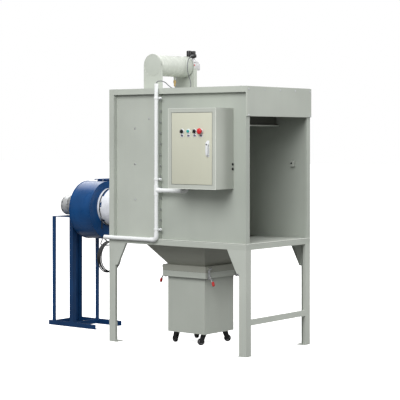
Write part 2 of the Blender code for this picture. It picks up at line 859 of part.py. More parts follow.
def make_filters(shop):
    """Cartridges: closed front cap, pleated body, open flanged end against the tube sheet."""
    r, bore, length = FILTER_RADIUS, FILTER_BORE, FILTER_LENGTH
    for name, _, z in pipe_places():
        profile = [
            (bore, length), (r, length), (r, length - 0.015), (r - 0.008, length - 0.015),
            (r - 0.008, 0.020), (r, 0.020), (r, 0), (0, 0),
        ]
        inner = [(0, 0.012), (bore, 0.012)]
        middle = (BODY_MID_X, TUBE_SHEET_Y - GAP - length, z)
        shop.turned("filter_" + name, profile + inner, "white", middle, "Y", segments=32, closed=True)


def make_blow_pipes(shop):
    """From each valve: back, down through the roof, across to the filter's axis and forward."""
    for name, x, z in pipe_places():
        valve_back = TANK_MID_Y + VALVE_DEPTH / 2 + GAP
        valve_z = TANK_MID_Z
        r = 0.030
        route = [
            (x, valve_back, valve_z), (x, BLOW_PIPE_Y - r, valve_z),
            (x, BLOW_PIPE_Y - 0.3 * r, valve_z - 0.3 * r), (x, BLOW_PIPE_Y, valve_z - r),
            (x, BLOW_PIPE_Y, z + r), (x - 0.3 * r, BLOW_PIPE_Y, z + 0.3 * r), (x - r, BLOW_PIPE_Y, z),
            (BODY_MID_X + r, BLOW_PIPE_Y, z), (BODY_MID_X + 0.3 * r, BLOW_PIPE_Y - 0.3 * r, z),
            (BODY_MID_X, BLOW_PIPE_Y - r, z), (BODY_MID_X, TUBE_SHEET_Y + 0.035, z),
        ]
        shop.tube("blow_pipe_" + name, route, BLOW_PIPE, "steel")


# ---- Air tank and valves on the roof ----


def make_tank(shop):
    half = TANK_LENGTH / 2
    r = TANK_RADIUS
    profile = [(0, half), (0.6 * r, half), (0.95 * r, half - 0.012), (r, half - 0.035),
               (r, 0.035 - half), (0.95 * r, 0.012 - half), (0.6 * r, -half), (0, -half)]
    tank = shop.turned(
        "air_tank", profile, "sheet grey", (BODY_MID_X, TANK_MID_Y, TANK_MID_Z), "X", segments=32
    )
    shop.join(
        tank,
        rod(
            (BODY_MID_X + half - 0.01, TANK_MID_Y, TANK_MID_Z), "X",
            0.01 + SUPPORT_SHEET + 0.018 - GAP, NIPPLE, 20,
        ),
    )


def support_outline():
    """Plate with a round top about the tank's axis."""
    half = SUPPORT_WIDTH / 2
    arc = [
        (TANK_MID_Y + half * cos(pi * i / 16), TANK_MID_Z + half * sin(pi * i / 16)) for i in range(17)
    ]
    low = ROOF_TOP + GAP
    return [(TANK_MID_Y + half, low), *arc, (TANK_MID_Y - half, low)]


def make_supports(shop):
    half = TANK_LENGTH / 2 + GAP
    low = ROOF_TOP + GAP
    front = TANK_MID_Y - SUPPORT_WIDTH / 2
    back = TANK_MID_Y + SUPPORT_WIDTH / 2
    for name, x, out in (
        ("tank_support_near", BODY_MID_X - half - SUPPORT_SHEET, 1),
        ("tank_support_far", BODY_MID_X + half, 1),
    ):
        support = shop.part(name, slab(support_outline(), "X", x, SUPPORT_SHEET), "sheet grey")
        reach = SUPPORT_FLANGE if name.endswith("far") else SUPPORT_FLANGE / 2
        shop.join(
            support,
            box((x, front, low), (x + reach, front + SUPPORT_SHEET, TANK_MID_Z - 0.012)),
            box((x, back - SUPPORT_SHEET, low), (x + reach, back, TANK_MID_Z - 0.012)),
            box((x, front, low), (x + reach, back, low + SUPPORT_SHEET)),
        )
        if name.endswith("far"):
            shop.cut(
                support,
                rod((x - 0.01, TANK_MID_Y, TANK_MID_Z), "X", 0.03, NIPPLE + GAP, 20),
            )


def make_valves(shop):
    """Two pulse valves side by side, each with a coil on top, and the regulator after them."""
    for name, x, _ in pipe_places():
        low = TANK_MID_Z - VALVE_BELOW
        top = low + VALVE_HEIGHT
        half = VALVE_LENGTH / 2 - GAP
        valve = shop.part(
            "pulse_valve_" + name,
            box(
                (x - half, TANK_MID_Y - VALVE_DEPTH / 2, low),
                (x + half, TANK_MID_Y + VALVE_DEPTH / 2, top),
            ),
            "steel",
        )
        shop.join(
            valve,
            rod((x, TANK_MID_Y, top - 0.004), "Z", 0.004 + COIL_NECK + 0.002, 0.012, 16),
            rod((x, TANK_MID_Y, top + COIL_NECK), "Z", COIL_HEIGHT, COIL_RADIUS, 20),
        )


def regulator_x():
    return pipe_places()[1][1] + VALVE_LENGTH / 2


def make_regulator(shop):
    x = regulator_x()
    low = TANK_MID_Z - 0.020
    regulator = shop.part(
        "air_regulator",
        box((x, TANK_MID_Y - 0.022, low), (x + 0.046, TANK_MID_Y + 0.022, low + 0.070)),
        "steel",
    )
    back = TANK_MID_Y + 0.022
    shop.join(regulator, rod((x + 0.023, back - 0.002, TANK_MID_Z), "Y", 0.012, 0.011, 16))
    shop.part(
        "regulator_knob",
        rod((x + 0.023, back + 0.010 + PLAY, TANK_MID_Z), "Y", 0.018, 0.014, 16),
        "red",
        pivot=(x + 0.023, back + 0.020, TANK_MID_Z),
    )


# ---- Control box ----


def door_corners():
    """Low and high corner of the door in Y and Z."""
    inset = DOOR_MARGIN + DOOR_GAP
    return (
        (BOX_LOW_Y + inset, BOX_LOW_Z + inset),
        (BOX_LOW_Y + BOX_WIDTH - inset, BOX_LOW_Z + BOX_HEIGHT - inset),
    )


def button_y(index):
    """The four buttons are spaced evenly about the door's middle, from the hinge side."""
    return BOX_MID_Y + BUTTON_PITCH * (1.5 - index)


def gland_place():
    return Vector((CONDUIT_X, GLAND_Y, BOX_LOW_Z))


def make_box_shell(shop):
    high_y, high_z = BOX_LOW_Y + BOX_WIDTH, BOX_LOW_Z + BOX_HEIGHT
    back = PANEL_RECESS - GAP
    t = BOX_SHEET
    shell = shop.part(
        "control_box_shell",
        box((BOX_FRONT_X, BOX_LOW_Y, BOX_LOW_Z), (back, high_y, high_z)),
        "sheet grey",
    )
    m = DOOR_MARGIN
    gland = gland_place()
    shop.cut(
        shell,
        box((BOX_FRONT_X + t, BOX_LOW_Y + t, BOX_LOW_Z + t), (back - t, high_y - t, high_z - t)),
        box(
            (BOX_FRONT_X - 0.01, BOX_LOW_Y + m, BOX_LOW_Z + m),
            (BOX_FRONT_X + 0.01, high_y - m, high_z - m),
        ),
        rod((gland.x, gland.y, gland.z - 0.01), "Z", 0.02, CONDUIT + PLAY, 16),
    )


def make_door(shop):
    (low_y, low_z), (high_y, high_z) = door_corners()
    door = shop.part(
        "control_box_door",
        box((BOX_FRONT_X, low_y, low_z), (BOX_FRONT_X + DOOR_SHEET, high_y, high_z)),
        "door beige",
        pivot=(BOX_FRONT_X + DOOR_SHEET / 2, high_y, BOX_MID_Z),
    )
    handle_y = low_y + 0.036
    shop.cut(
        door,
        *(
            rod((BOX_FRONT_X - 0.01, button_y(i), BUTTON_Z), "X", 0.03, SHANK + GAP, 20)
            for i in range(4)
        ),
        rod((BOX_FRONT_X - 0.01, handle_y, BOX_MID_Z + 0.03), "X", 0.03, 0.008 + GAP, 16),
    )
    pivot = (BOX_FRONT_X, handle_y, BOX_MID_Z + 0.03)
    handle = shop.part(
        "door_handle",
        box(
            (BOX_FRONT_X - 0.020, handle_y - HANDLE_WIDTH / 2, BOX_MID_Z - HANDLE_HEIGHT / 2),
            (BOX_FRONT_X - 0.010, handle_y + HANDLE_WIDTH / 2, BOX_MID_Z + HANDLE_HEIGHT / 2),
        ),
        "steel",
        pivot=pivot,
    )
    shop.join(
        handle,
        rod((BOX_FRONT_X - 0.012, *pivot[1:]), "X", 0.012 - GAP, 0.0115, 16),
        rod((BOX_FRONT_X - 0.012, *pivot[1:]), "X", 0.012 + 0.020, 0.008, 16),
        box(
            (BOX_FRONT_X + 0.013, handle_y - 0.008, pivot[2] - 0.008),
            (BOX_FRONT_X + 0.018, handle_y + 0.008, pivot[2] + 0.045),
        ),
    )


def make_buttons(shop):
    """Two selectors, a push button and a mushroom stop, all on shanks through the door."""
    for name, index in (("selector_mode", 0), ("selector_cleaning", 2)):
        y = button_y(index)
        start = BOX_FRONT_X - GAP
        knob = shop.part(
            name, rod((start - 0.012, y, BUTTON_Z), "X", 0.012, 0.0145, 20), "black",
            pivot=(start, y, BUTTON_Z),
        )
        shop.join(
            knob,
            box((start - 0.026, y - 0.004, BUTTON_Z - 0.013), (start - 0.010, y + 0.004, BUTTON_Z + 0.013)),
            rod((start - 0.002, y, BUTTON_Z), "X", 0.040, SHANK, 20),
        )
    y = button_y(1)
    travel_room = 0.0055
    start_button = shop.part(
        "start_button",
        rod((BOX_FRONT_X - travel_room - 0.009, y, BUTTON_Z), "X", 0.009, 0.0140, 20),
        "green",
        pivot=(BOX_FRONT_X, y, BUTTON_Z),
    )
    shop.join(start_button, rod((BOX_FRONT_X - travel_room - 0.002, y, BUTTON_Z), "X", 0.040, SHANK, 20))
    y = button_y(3)
    stop = shop.part(
        "emergency_stop",
        rod((BOX_FRONT_X - STOP_PROUD, y, BUTTON_Z), "X", 0.008, 0.013, 24, end_radius=STOP_RADIUS),
        "red",
        pivot=(BOX_FRONT_X, y, BUTTON_Z),
    )
    shop.join(
        stop,
        rod((BOX_FRONT_X - STOP_PROUD + 0.0075, y, BUTTON_Z), "X", 0.008, STOP_RADIUS, 24),
        rod((BOX_FRONT_X - STOP_PROUD + 0.012, y, BUTTON_Z), "X", 0.060, SHANK, 20),
    )


def make_contactor_board(shop):
    """Plate inside the box with the contactor, the pulse timer and a terminal row."""
    back = PANEL_RECESS - GAP - BOX_SHEET - 0.012
    board = shop.part(
        "contactor_board",
        centred_box((back, BOX_MID_Y, BOX_MID_Z), (0.002, BOX_WIDTH - 0.06, BOX_HEIGHT - 0.08)),
        "steel",
    )
    front = back - 0.0005
    shop.join(
        board,
        box((front - 0.075, BOX_MID_Y + 0.06, BOX_MID_Z + 0.06), (front, BOX_MID_Y + 0.14, BOX_MID_Z + 0.16)),
        box((front - 0.060, BOX_MID_Y - 0.12, BOX_MID_Z + 0.05), (front, BOX_MID_Y + 0.00, BOX_MID_Z + 0.15)),
        box((front - 0.045, BOX_MID_Y - 0.15, BOX_MID_Z - 0.18), (front, BOX_MID_Y + 0.15, BOX_MID_Z - 0.13)),
    )


# ---- Conduit and cables ----


def elbow_route(a, corner, b, radius):
    """From a round a corner to b, with a short rounded bend."""
    a, corner, b = Vector(a), Vector(corner), Vector(b)
    into, out = (corner - a).normalized(), (b - corner).normalized()
    first, last = corner - into * radius, corner + out * radius
    bend = []
    for i in range(1, 4):
        t = i / 4
        bend.append((1 - t) ** 2 * first + 2 * t * (1 - t) * corner + t**2 * last)
    return [a, first, *bend, last, b]


def make_conduit(shop):
    """White pipe: down the joint, round an elbow and back along the frame, with a branch to the box."""
    x = CONDUIT_X
    down = JOINT_Y + 0.006
    main = shop.tube_mesh(
        elbow_route((x, down, CONDUIT_TOP), (x, down, CONDUIT_LOW), (x, CONDUIT_END_Y, CONDUIT_LOW), 0.03),
        CONDUIT,
    )
    conduit = shop.part("conduit", main, "white")
    shop.join(
        conduit,
        rod((x, BRANCH_END_Y, BRANCH_Z), "Y", down - BRANCH_END_Y, CONDUIT, 12),
        rod((x, down, BRANCH_Z - 0.032), "Z", 0.064, CONDUIT + 0.003, 12),
    )
    shop.cut(
        conduit,
        rod((x, down, CONDUIT_TOP - 0.05), "Z", 0.06, CONDUIT - 0.003, 12),
        rod((x, CONDUIT_END_Y - 0.05, CONDUIT_LOW), "Y", 0.06, CONDUIT - 0.003, 12),
    )


def make_gland(shop):
    """Grey elbow from the branch up into the bottom of the box."""
    place = gland_place()
    start = (CONDUIT_X, BRANCH_END_Y - GAP, BRANCH_Z)
    end = (place.x, place.y, BOX_LOW_Z + 0.012)
    route = elbow_route(start, (place.x, place.y, BRANCH_Z), end, 0.022)
    shop.part("box_gland", shop.tube_mesh(route, CONDUIT - 0.001), "steel")


VALVE_CABLE_ROUTE = [
    (CONDUIT_X, 0.845, 1.995), (CONDUIT_X, 0.845, 2.033), (-0.012, 0.840, 2.050), (0.015, 0.828, 2.056),
    (0.050, 0.815, 2.046), (0.085, 0.808, 2.022), (0.130, 0.815, 2.006), (0.200, 0.845, 2.005),
    (0.300, 0.890, 2.005), (0.400, 0.930, 2.005), (0.480, 0.957, 2.005), (0.520, 0.968, 2.0055),
    (0.552, 0.974, 2.016), (0.570, 0.977, 2.042), (0.568, 0.979, 2.075), (0.552, 0.981, 2.115),
    (0.537, 0.982, 2.155), (0.533, 0.982, 2.200), (0.546, 0.983, 2.245), (0.578, 0.985, 2.277),
    (0.615, 0.991, 2.290), (0.643, 1.004, 2.288), (0.661, 1.026, 2.286), (0.667, 1.050, 2.285),
    (0.667, 1.0575, 2.285),
]


def make_valve_cable(shop):
    """Grey lead from the conduit's mouth, along the roof and up to the first coil."""
    shop.tube("valve_cable", VALVE_CABLE_ROUTE, VALVE_CABLE, "black", smooth_per_span=3)


LEAD_BODY_LENGTH = 1.350  # body length that the route below is drawn for
LEAD_END_Y = 2.208
LEAD_SPAN = 0.778
FAN_CABLE_ROUTE = [
    (-0.0155, 1.3991, 0.8275), (-0.0069, 1.4119, 0.8255), (0.0059, 1.4205, 0.8205), (0.021, 1.4235, 0.815),
    (0.060, 1.420, 0.811), (0.095, 1.412, 0.806), (0.130, 1.405, 0.795), (0.170, 1.425, 0.780),
    (0.220, 1.470, 0.764), (0.300, 1.560, 0.748), (0.400, 1.680, 0.728), (0.480, 1.790, 0.712),
    (0.550, 1.900, 0.701), (0.620, 2.000, 0.697), (0.690, 2.070, 0.704), (0.750, 2.110, 0.728),
    (0.795, 2.150, 0.780), (0.812, 2.185, 0.850), (0.806, 2.203, 0.900), (0.785, 2.208, 0.932),
    (0.757, 2.208, 0.9455), (0.731, 2.208, 0.9465), (0.7062, 2.208, 0.9568), (0.696, 2.208, 0.9815),
    (0.696, 2.208, 1.0015),
]


def motor_lead_route():
    """The route, whose start goes with the back of the body and whose end stays at the motor."""
    route = [(CONDUIT_X, CONDUIT_END_Y - 0.035, CONDUIT_LOW), (CONDUIT_X, CONDUIT_END_Y, CONDUIT_LOW)]
    for x, y, z in FAN_CABLE_ROUTE:
        share = min(1, (LEAD_END_Y - y) / LEAD_SPAN)
        route.append((x, y + share * (BODY_LENGTH - LEAD_BODY_LENGTH), z))
    return route


def make_fan_cable(shop):
    """Black lead from the conduit's end to the motor, with its spare length in a hanging coil."""
    shop.tube("fan_cable", motor_lead_route(), FAN_CABLE, "black", smooth_per_span=3)
    wide = FAN_CABLE * COIL_TURNS
    deep = COIL_THICK / 2
    profile = [
        (COIL_RING - deep, wide * 0.7), (COIL_RING, wide), (COIL_RING + deep, wide * 0.7),
        (COIL_RING + deep, -wide * 0.7), (COIL_RING, -wide), (COIL_RING - deep, -wide * 0.7),
    ]
    shop.turned("fan_cable_coil", profile, "black", COIL_MID, "Y", segments=32, closed=True)


# ---- Fan ----


def scroll_outline(inset):
    """Spiral from the top, round by the control box side and the bottom, then up the outlet."""
    points = []
    steps = 36
    for i in range(steps + 1):
        angle = 1.5 * pi * i / steps
        r = SCROLL_START + SCROLL_GROWTH * i / steps - inset
        points.append((FAN_X - r * sin(angle), FAN_Z + r * cos(angle)))
    right = FAN_X + OUTLET_RIGHT - inset
    left = FAN_X + OUTLET_LEFT + inset
    start = SCROLL_START - inset
    points += [(right, OUTLET_TOP + inset), (left, OUTLET_TOP + inset)]
    turn = 0.42
    points += [
        (left, FAN_Z + start * cos(turn) + 0.004),
        (FAN_X + start * sin(turn) * 0.6, FAN_Z + start * cos(turn * 0.6)),
    ]
    return points


def make_fan_housing(shop):
    front, width, wall = FAN_FRONT_Y, FAN_WIDTH, FAN_WALL
    housing = shop.part("fan_housing", slab(scroll_outline(0), "Y", front, width), "blue")
    left, right = FAN_X + OUTLET_LEFT, FAN_X + OUTLET_RIGHT
    rim = OUTLET_RIM
    shop.join(
        housing,
        box(
            (left - rim, front - rim, OUTLET_TOP - 0.001),
            (right + rim, front + width + rim, OUTLET_TOP + OUTLET_RIM_THICK),
        ),
        rod((FAN_X, front - SPIGOT, FAN_Z), "Y", SPIGOT + 0.001, DUCT_RADIUS - DUCT_WALL - GAP, 40),
    )
    shop.cut(
        housing,
        slab(scroll_outline(wall), "Y", front + wall, width - 2 * wall),
        box(
            (left + wall, front + wall, OUTLET_TOP - 0.02),
            (right - wall, front + width - wall, OUTLET_TOP + OUTLET_RIM_THICK + 0.01),
        ),
        rod((FAN_X, front - SPIGOT - 0.01, FAN_Z), "Y", SPIGOT + 0.03, INLET_RADIUS, 40),
        rod((FAN_X, front + width - 0.02, FAN_Z), "Y", 0.04, SHAFT + 0.010, 20),
    )


def make_impeller(shop):
    """Wheel with backward blades between a disc and a ring, keyed to the motor's shaft."""
    back = FAN_FRONT_Y + FAN_WIDTH - FAN_WALL - 0.018
    disc = 0.003
    blade = 0.120
    wheel = shop.part(
        "fan_impeller",
        rod((FAN_X, back - disc, FAN_Z), "Y", disc, WHEEL_DISC, 40),
        "steel",
        pivot=(FAN_X, back, FAN_Z),
    )
    ring = shop_ring(shop, (FAN_X, back - disc - blade, FAN_Z), disc, WHEEL_DISC, 0.130)
    blades = []
    for i in range(10):
        turn = Matrix.Rotation(2 * pi * i / 10, 4, "Y") @ Matrix.Translation((0.157, 0, 0))
        turn = turn @ Matrix.Rotation(radians(40), 4, "Y")
        mesh = centred_box((0, 0, 0), (0.064, blade + disc / 2, 0.0025))
        middle = Vector((FAN_X, back - disc - blade / 2, FAN_Z)) - ORIGIN
        mesh.transform(Matrix.Translation(middle) @ turn @ Matrix.Translation(ORIGIN))
        blades.append(mesh)
    shop.join(wheel, ring, *blades)
    shop.join(
        wheel,
        rod((FAN_X, back - disc - 0.05, FAN_Z), "Y", 0.055, HUB, 20),
        rod((FAN_X, back - disc - 0.06, FAN_Z), "Y", 0.06 + disc + 0.018 + FAN_WALL + 0.06, SHAFT, 16),
    )


def shop_ring(shop, start, thick, outer, inner):
    """A flat ring: an annular outline turned by a Screw, made a mesh."""
    ring = shop.turned(
        "ring", [(inner, thick), (outer, thick), (outer, 0), (inner, 0)], "steel", start, "Y", 40, True
    )
    graph = bpy.context.evaluated_depsgraph_get()
    mesh = bpy.data.meshes.new_from_object(ring.evaluated_get(graph))
    mesh.transform(Matrix.Translation(ring.location) @ ring.rotation_euler.to_matrix().to_4x4())
    mesh.materials.clear()
    bpy.data.objects.remove(ring)
    return mesh


def make_motor(shop):
    start = FAN_FRONT_Y + FAN_WIDTH + GAP
    end = start + MOTOR_LENGTH
    motor = shop.part(
        "motor_body", rod((FAN_X, start, FAN_Z), "Y", 0.012, 0.100, 32), "steel"
    )
    foot_low = PLATE_TOP + GAP
    shop.join(
        motor,
        rod((FAN_X, start + 0.010, FAN_Z), "Y", MOTOR_LENGTH - 0.088, MOTOR_RADIUS - 0.006, 32),
        rod((FAN_X, end - 0.080, FAN_Z), "Y", 0.072, MOTOR_RADIUS, 32),
        rod((FAN_X, end - 0.0085, FAN_Z), "Y", 0.0085, MOTOR_RADIUS, 32, end_radius=MOTOR_RADIUS - 0.012),
        box((FAN_X - 0.070, start + 0.045, foot_low), (FAN_X + 0.070, start + 0.165, foot_low + 0.012)),
        box((FAN_X - 0.045, start + 0.045, foot_low), (FAN_X + 0.045, start + 0.165, FAN_Z)),
    )
    shop.cut(motor, rod((FAN_X, start - 0.01, FAN_Z), "Y", 0.080, SHAFT + PLAY, 16))


def terminal_place():
    start = FAN_FRONT_Y + FAN_WIDTH + 0.050
    return Vector((FAN_X + MOTOR_RADIUS + 0.002, start, FAN_Z - 0.010))


def make_terminal_box(shop):
    """On the motor's far side, with the cable's gland underneath."""
    low = terminal_place()
    size = Vector(TERMINAL_SIZE)
    box_part = shop.part("terminal_box", box(low, low + size), "steel")
    shop.join(
        box_part,
        rod((low.x + size.x / 2, low.y + size.y / 2, low.z - 0.018), "Z", 0.020, 0.010, 16),
    )


def make_duct(shop):
    start = BODY_LENGTH + GAP
    end = FAN_FRONT_Y - GAP
    outer, wall = DUCT_RADIUS, DUCT_WALL
    profile = [(outer, end - start), (outer, 0), (outer - wall, 0), (outer - wall, end - start)]
    shop.turned("duct_sleeve", profile, "cloth", (FAN_X, start, FAN_Z), "Y", segments=40, closed=True)


def angle_bar(low, high, corner):
    """An angle iron inside the box low to high: two walls that meet on the edge named by corner.

    corner gives, for each of the two cross directions, -1 for the low face and 1 for the high
    face, and 0 for the bar's own direction.
    """
    walls = []
    for axis in range(3):
        if corner[axis] == 0:
            continue
        a, b = list(low), list(high)
        if corner[axis] < 0:
            b[axis] = a[axis] + ANGLE_WALL
        else:
            a[axis] = b[axis] - ANGLE_WALL
        walls.append(box(a, b))
    return walls


def make_fan_stand(shop):
    """Two long runners, two cross bars, four posts and the plate that carries the motor."""
    near = FAN_X - STAND_NEAR
    far = FAN_X + STAND_FAR
    a = ANGLE
    top = PLATE_TOP - PLATE_THICK
    plate = shop.part(
        "fan_stand",
        box((near, POST_START_Y, top), (far, POST_END_Y, PLATE_TOP)),
        "blue",
    )
    post_top = top + PLATE_THICK / 2
    bars = []
    for x, side in ((near, -1), (far - a, 1)):
        bars += angle_bar((x, STAND_START_Y, 0), (x + a, STAND_END_Y, a), (side, 0, -1))
        for y, end in ((POST_START_Y, -1), (POST_END_Y - a, 1)):
            bars += angle_bar((x, y, ANGLE_WALL / 2), (x + a, y + a, post_top), (side, end, 0))
    for y, end in ((POST_START_Y, -1), (POST_END_Y - a, 1)):
        bars += angle_bar((near + 0.001, y, 0.0005), (far - 0.001, y + a, a - 0.0005), (0, end, -1))
    shop.join(plate, *bars)


def main():
    clear_scene()
    shop = Shop()
    make_legs(shop)
    make_base_frame(shop)
    make_floor_pan(shop)
    make_front_brace(shop)
    make_hopper(shop)
    make_latches(shop)
    make_bin(shop)
    make_casters(shop)
    make_side_panels(shop)
    make_rear_panel(shop)
    make_roof(shop)
    make_fascia(shop)
    make_baffle(shop)
    make_tube_sheet(shop)
    make_filters(shop)
    make_blow_pipes(shop)
    make_tank(shop)
    make_supports(shop)
    make_valves(shop)
    make_regulator(shop)
    make_box_shell(shop)
    make_door(shop)
    make_buttons(shop)
    make_contactor_board(shop)
    make_conduit(shop)
    make_gland(shop)
    make_valve_cable(shop)
    make_fan_cable(shop)
    make_fan_housing(shop)
    make_impeller(shop)
    make_motor(shop)
    make_terminal_box(shop)
    make_duct(shop)
    make_fan_stand(shop)


main()
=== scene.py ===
from math import cos, pi, radians, sin

import bmesh
import bpy
import numpy as np
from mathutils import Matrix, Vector


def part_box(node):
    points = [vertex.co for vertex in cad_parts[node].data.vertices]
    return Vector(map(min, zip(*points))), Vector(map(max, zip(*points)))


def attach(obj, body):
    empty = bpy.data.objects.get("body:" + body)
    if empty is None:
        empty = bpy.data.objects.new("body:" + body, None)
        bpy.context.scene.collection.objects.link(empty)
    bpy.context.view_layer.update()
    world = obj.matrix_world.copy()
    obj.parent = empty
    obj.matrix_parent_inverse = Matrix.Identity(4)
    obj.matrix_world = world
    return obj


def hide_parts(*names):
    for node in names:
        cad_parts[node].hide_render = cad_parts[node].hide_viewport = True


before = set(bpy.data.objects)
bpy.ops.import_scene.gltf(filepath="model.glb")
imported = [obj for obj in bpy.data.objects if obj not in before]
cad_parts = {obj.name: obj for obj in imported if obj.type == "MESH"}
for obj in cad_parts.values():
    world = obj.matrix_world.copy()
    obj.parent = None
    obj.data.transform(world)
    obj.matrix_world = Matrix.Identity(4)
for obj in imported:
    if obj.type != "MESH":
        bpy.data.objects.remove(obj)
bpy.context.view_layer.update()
scene = bpy.context.scene

# Places: everything is measured from the cabinet's near front foot corner

baseLow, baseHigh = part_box("base_frame")
bodyWidth = baseHigh.x - baseLow.x
bodyLength = baseHigh.y - baseLow.y
bodyMiddle = bodyWidth / 2


def at(x, y, z):
    # the place that far from the foot corner, in the scene
    return np.array((x + baseLow.x, y + baseLow.y, z))


def local(node):
    # a node's lowest and highest corner, from the same foot corner
    low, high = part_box(node)
    shift = np.array((baseLow.x, baseLow.y, 0))
    return np.array(low) - shift, np.array(high) - shift


# Camera

cameraView = {
    "eye": (-8.212, -6.055, 1.6225),
    "towards": (0.7848, 0.6198, 0.0),
    "focalOverWidth": 1387 / 400,
    "shiftY": -0.1575,
}

cameraData = bpy.data.cameras.new("camera")
cameraData.sensor_width = 36
cameraData.lens = 36 * cameraView["focalOverWidth"]
cameraData.shift_y = cameraView["shiftY"]
cameraData.clip_end = 100
camera = bpy.data.objects.new("camera", cameraData)
camera.location = at(*cameraView["eye"])
camera.rotation_euler = Vector(cameraView["towards"]).to_track_quat("-Z", "Y").to_euler()
scene.collection.objects.link(camera)
scene.camera = camera
print("camera placed")

# Shapes as grids of points


def gridFaces(rows, columns, wrapRows=False, wrapColumns=False):
    # four-sided faces between each grid point and its next neighbours
    r = np.arange(rows if wrapRows else rows - 1)
    c = np.arange(columns if wrapColumns else columns - 1)
    r, c = (part.ravel() for part in np.meshgrid(r, c, indexing="ij"))
    nextR, nextC = (r + 1) % rows, (c + 1) % columns
    return np.stack((r * columns + c, r * columns + nextC, nextR * columns + nextC,
        nextR * columns + c), 1)


def sheetOf(grid, wrapRows=False, wrapColumns=False):
    # points and faces of one rows x columns grid
    rows, columns = grid.shape[:2]
    return grid.reshape(-1, 3), gridFaces(rows, columns, wrapRows, wrapColumns)


def unit(vector):
    # each vector divided by its own length
    vector = np.asarray(vector, float)
    return vector / np.linalg.norm(vector, axis=-1, keepdims=True)


def crossFrame(axis):
    # two directions square to the axis and to each other
    axis = unit(axis)
    helper = np.array((0, 0, 1.0)) if abs(axis[2]) < 0.9 else np.array((1.0, 0, 0))
    side = unit(np.cross(axis, helper))
    return side, np.cross(axis, side)


def turned(profile, start, towards, segments=32, wrapRows=False):
    # radius times the ring direction plus distance times the axis, for each profile point
    profile = np.asarray(profile, float)
    side, other = crossFrame(towards)
    angle = np.arange(segments) * 2 * pi / segments
    ring = np.cos(angle)[:, None] * side + np.sin(angle)[:, None] * other
    grid = np.asarray(start) + profile[:, 1, None, None] * unit(towards) + profile[:, 0, None,
        None] * ring
    return sheetOf(grid, wrapRows, True)


def roundBlock(low, high, radius, steps=3):
    # a ball's points pushed out towards the eight corners: a box with quarter-round edges
    low, high = np.asarray(low, float), np.asarray(high, float)
    middle, half = (low + high) / 2, (high - low) / 2
    radius = min(radius, half.min() * 0.98)
    quarter = np.linspace(0, pi / 2, steps + 1)
    around = np.concatenate([quarter + q * pi / 2 for q in range(4)])
    rise = np.concatenate((quarter - pi / 2, quarter))
    east = np.repeat((1, -1, -1, 1), steps + 1)
    north = np.repeat((1, 1, -1, -1), steps + 1)
    upward = np.repeat((-1, 1), steps + 1)
    reach = half - radius
    flat = np.ones_like(rise)
    grid = np.stack((
        np.outer(flat, east * reach[0]) + radius * np.outer(np.cos(rise), np.cos(around)),
        np.outer(flat, north * reach[1]) + radius * np.outer(np.cos(rise), np.sin(around)),
        np.outer(upward * reach[2] + radius * np.sin(rise), np.ones_like(around)),
    ), 2)
    ends = np.zeros((2, 1, len(around), 3))
    ends[0, ..., 2], ends[1, ..., 2] = -half[2], half[2]
    return sheetOf(np.concatenate((ends[0], grid, ends[1])) + middle, wrapColumns=True)


def roundOutline(width, height, radius, steps=4):
    # a rectangle's outline with quarter-round corners
    quarter = np.linspace(0, pi / 2, steps + 1)
    around = np.concatenate([quarter + q * pi / 2 for q in range(4)])
    across = np.repeat((1, -1, -1, 1), steps + 1) * (width / 2 - radius) + radius * np.cos(around)
    along = np.repeat((1, 1, -1, -1), steps + 1) * (height / 2 - radius) + radius * np.sin(around)
    return np.stack((across, along), 1)


def circleOutline(radius, segments=20):
    # radius times the cosine and sine of evenly spaced angles
    angle = np.arange(segments) * 2 * pi / segments
    return radius * np.stack((np.cos(angle), np.sin(angle)), 1)


def bentPath(corners, radius, steps=8):
    # straight runs joined by true arcs of one radius
    corners = [np.asarray(c, float) for c in corners]
    path = [corners[0]]
    for before, corner, after in zip(corners, corners[1:], corners[2:]):
        come, leave = unit(corner - before), unit(after - corner)
        turn = np.arccos(np.clip(come @ leave, -1, 1))
        reach = radius * np.tan(turn / 2)
        middle = corner + unit(leave - come) * radius / np.cos(turn / 2)
        first, last = corner - come * reach - middle, corner + leave * reach - middle
        share = np.linspace(0, 1, steps + 1)[:, None]
        path += list(middle + (np.sin((1 - share) * turn) * first + np.sin(share * turn) * last) / np.sin(turn))
    path.append(corners[-1])
    return np.array(path)


def carried(outline, path, side, sizes=None, wrapPath=False, capped=True):
    # an outline kept square to a path: its first direction stays as near to `side` as it can
    path = np.asarray(path, float)
    if wrapPath:
        run = unit(np.roll(path, -1, 0) - np.roll(path, 1, 0))
    else:
        steps = unit(np.diff(path, axis=0))
        run = unit(np.concatenate((steps[:1], steps[:-1] + steps[1:], steps[-1:])))
    side = np.asarray(side, float)
    across = unit(side - (run @ side)[:, None] * run)
    upward = np.cross(run, across)
    sizes = np.ones(len(path)) if sizes is None else np.asarray(sizes, float)
    grid = (
        path[:, None]
        + sizes[:, None, None] * outline[None, :, 0, None] * across[:, None]
        + sizes[:, None, None] * outline[None, :, 1, None] * upward[:, None]
    )
    if capped and not wrapPath:
        first = np.broadcast_to(grid[:1].mean(1, keepdims=True), grid[:1].shape)
        last = np.broadcast_to(grid[-1:].mean(1, keepdims=True), grid[-1:].shape)
        grid = np.concatenate((first, grid, last))
    return sheetOf(grid, wrapPath, True)


def copies(shape, places):
    # the same shape once at each place
    points, faces = shape
    places = np.asarray(places, float)
    many = (points[None] + places[:, None]).reshape(-1, 3)
    offsets = np.arange(len(places))[:, None, None] * len(points)
    return many, (faces[None] + offsets).reshape(-1, 4)


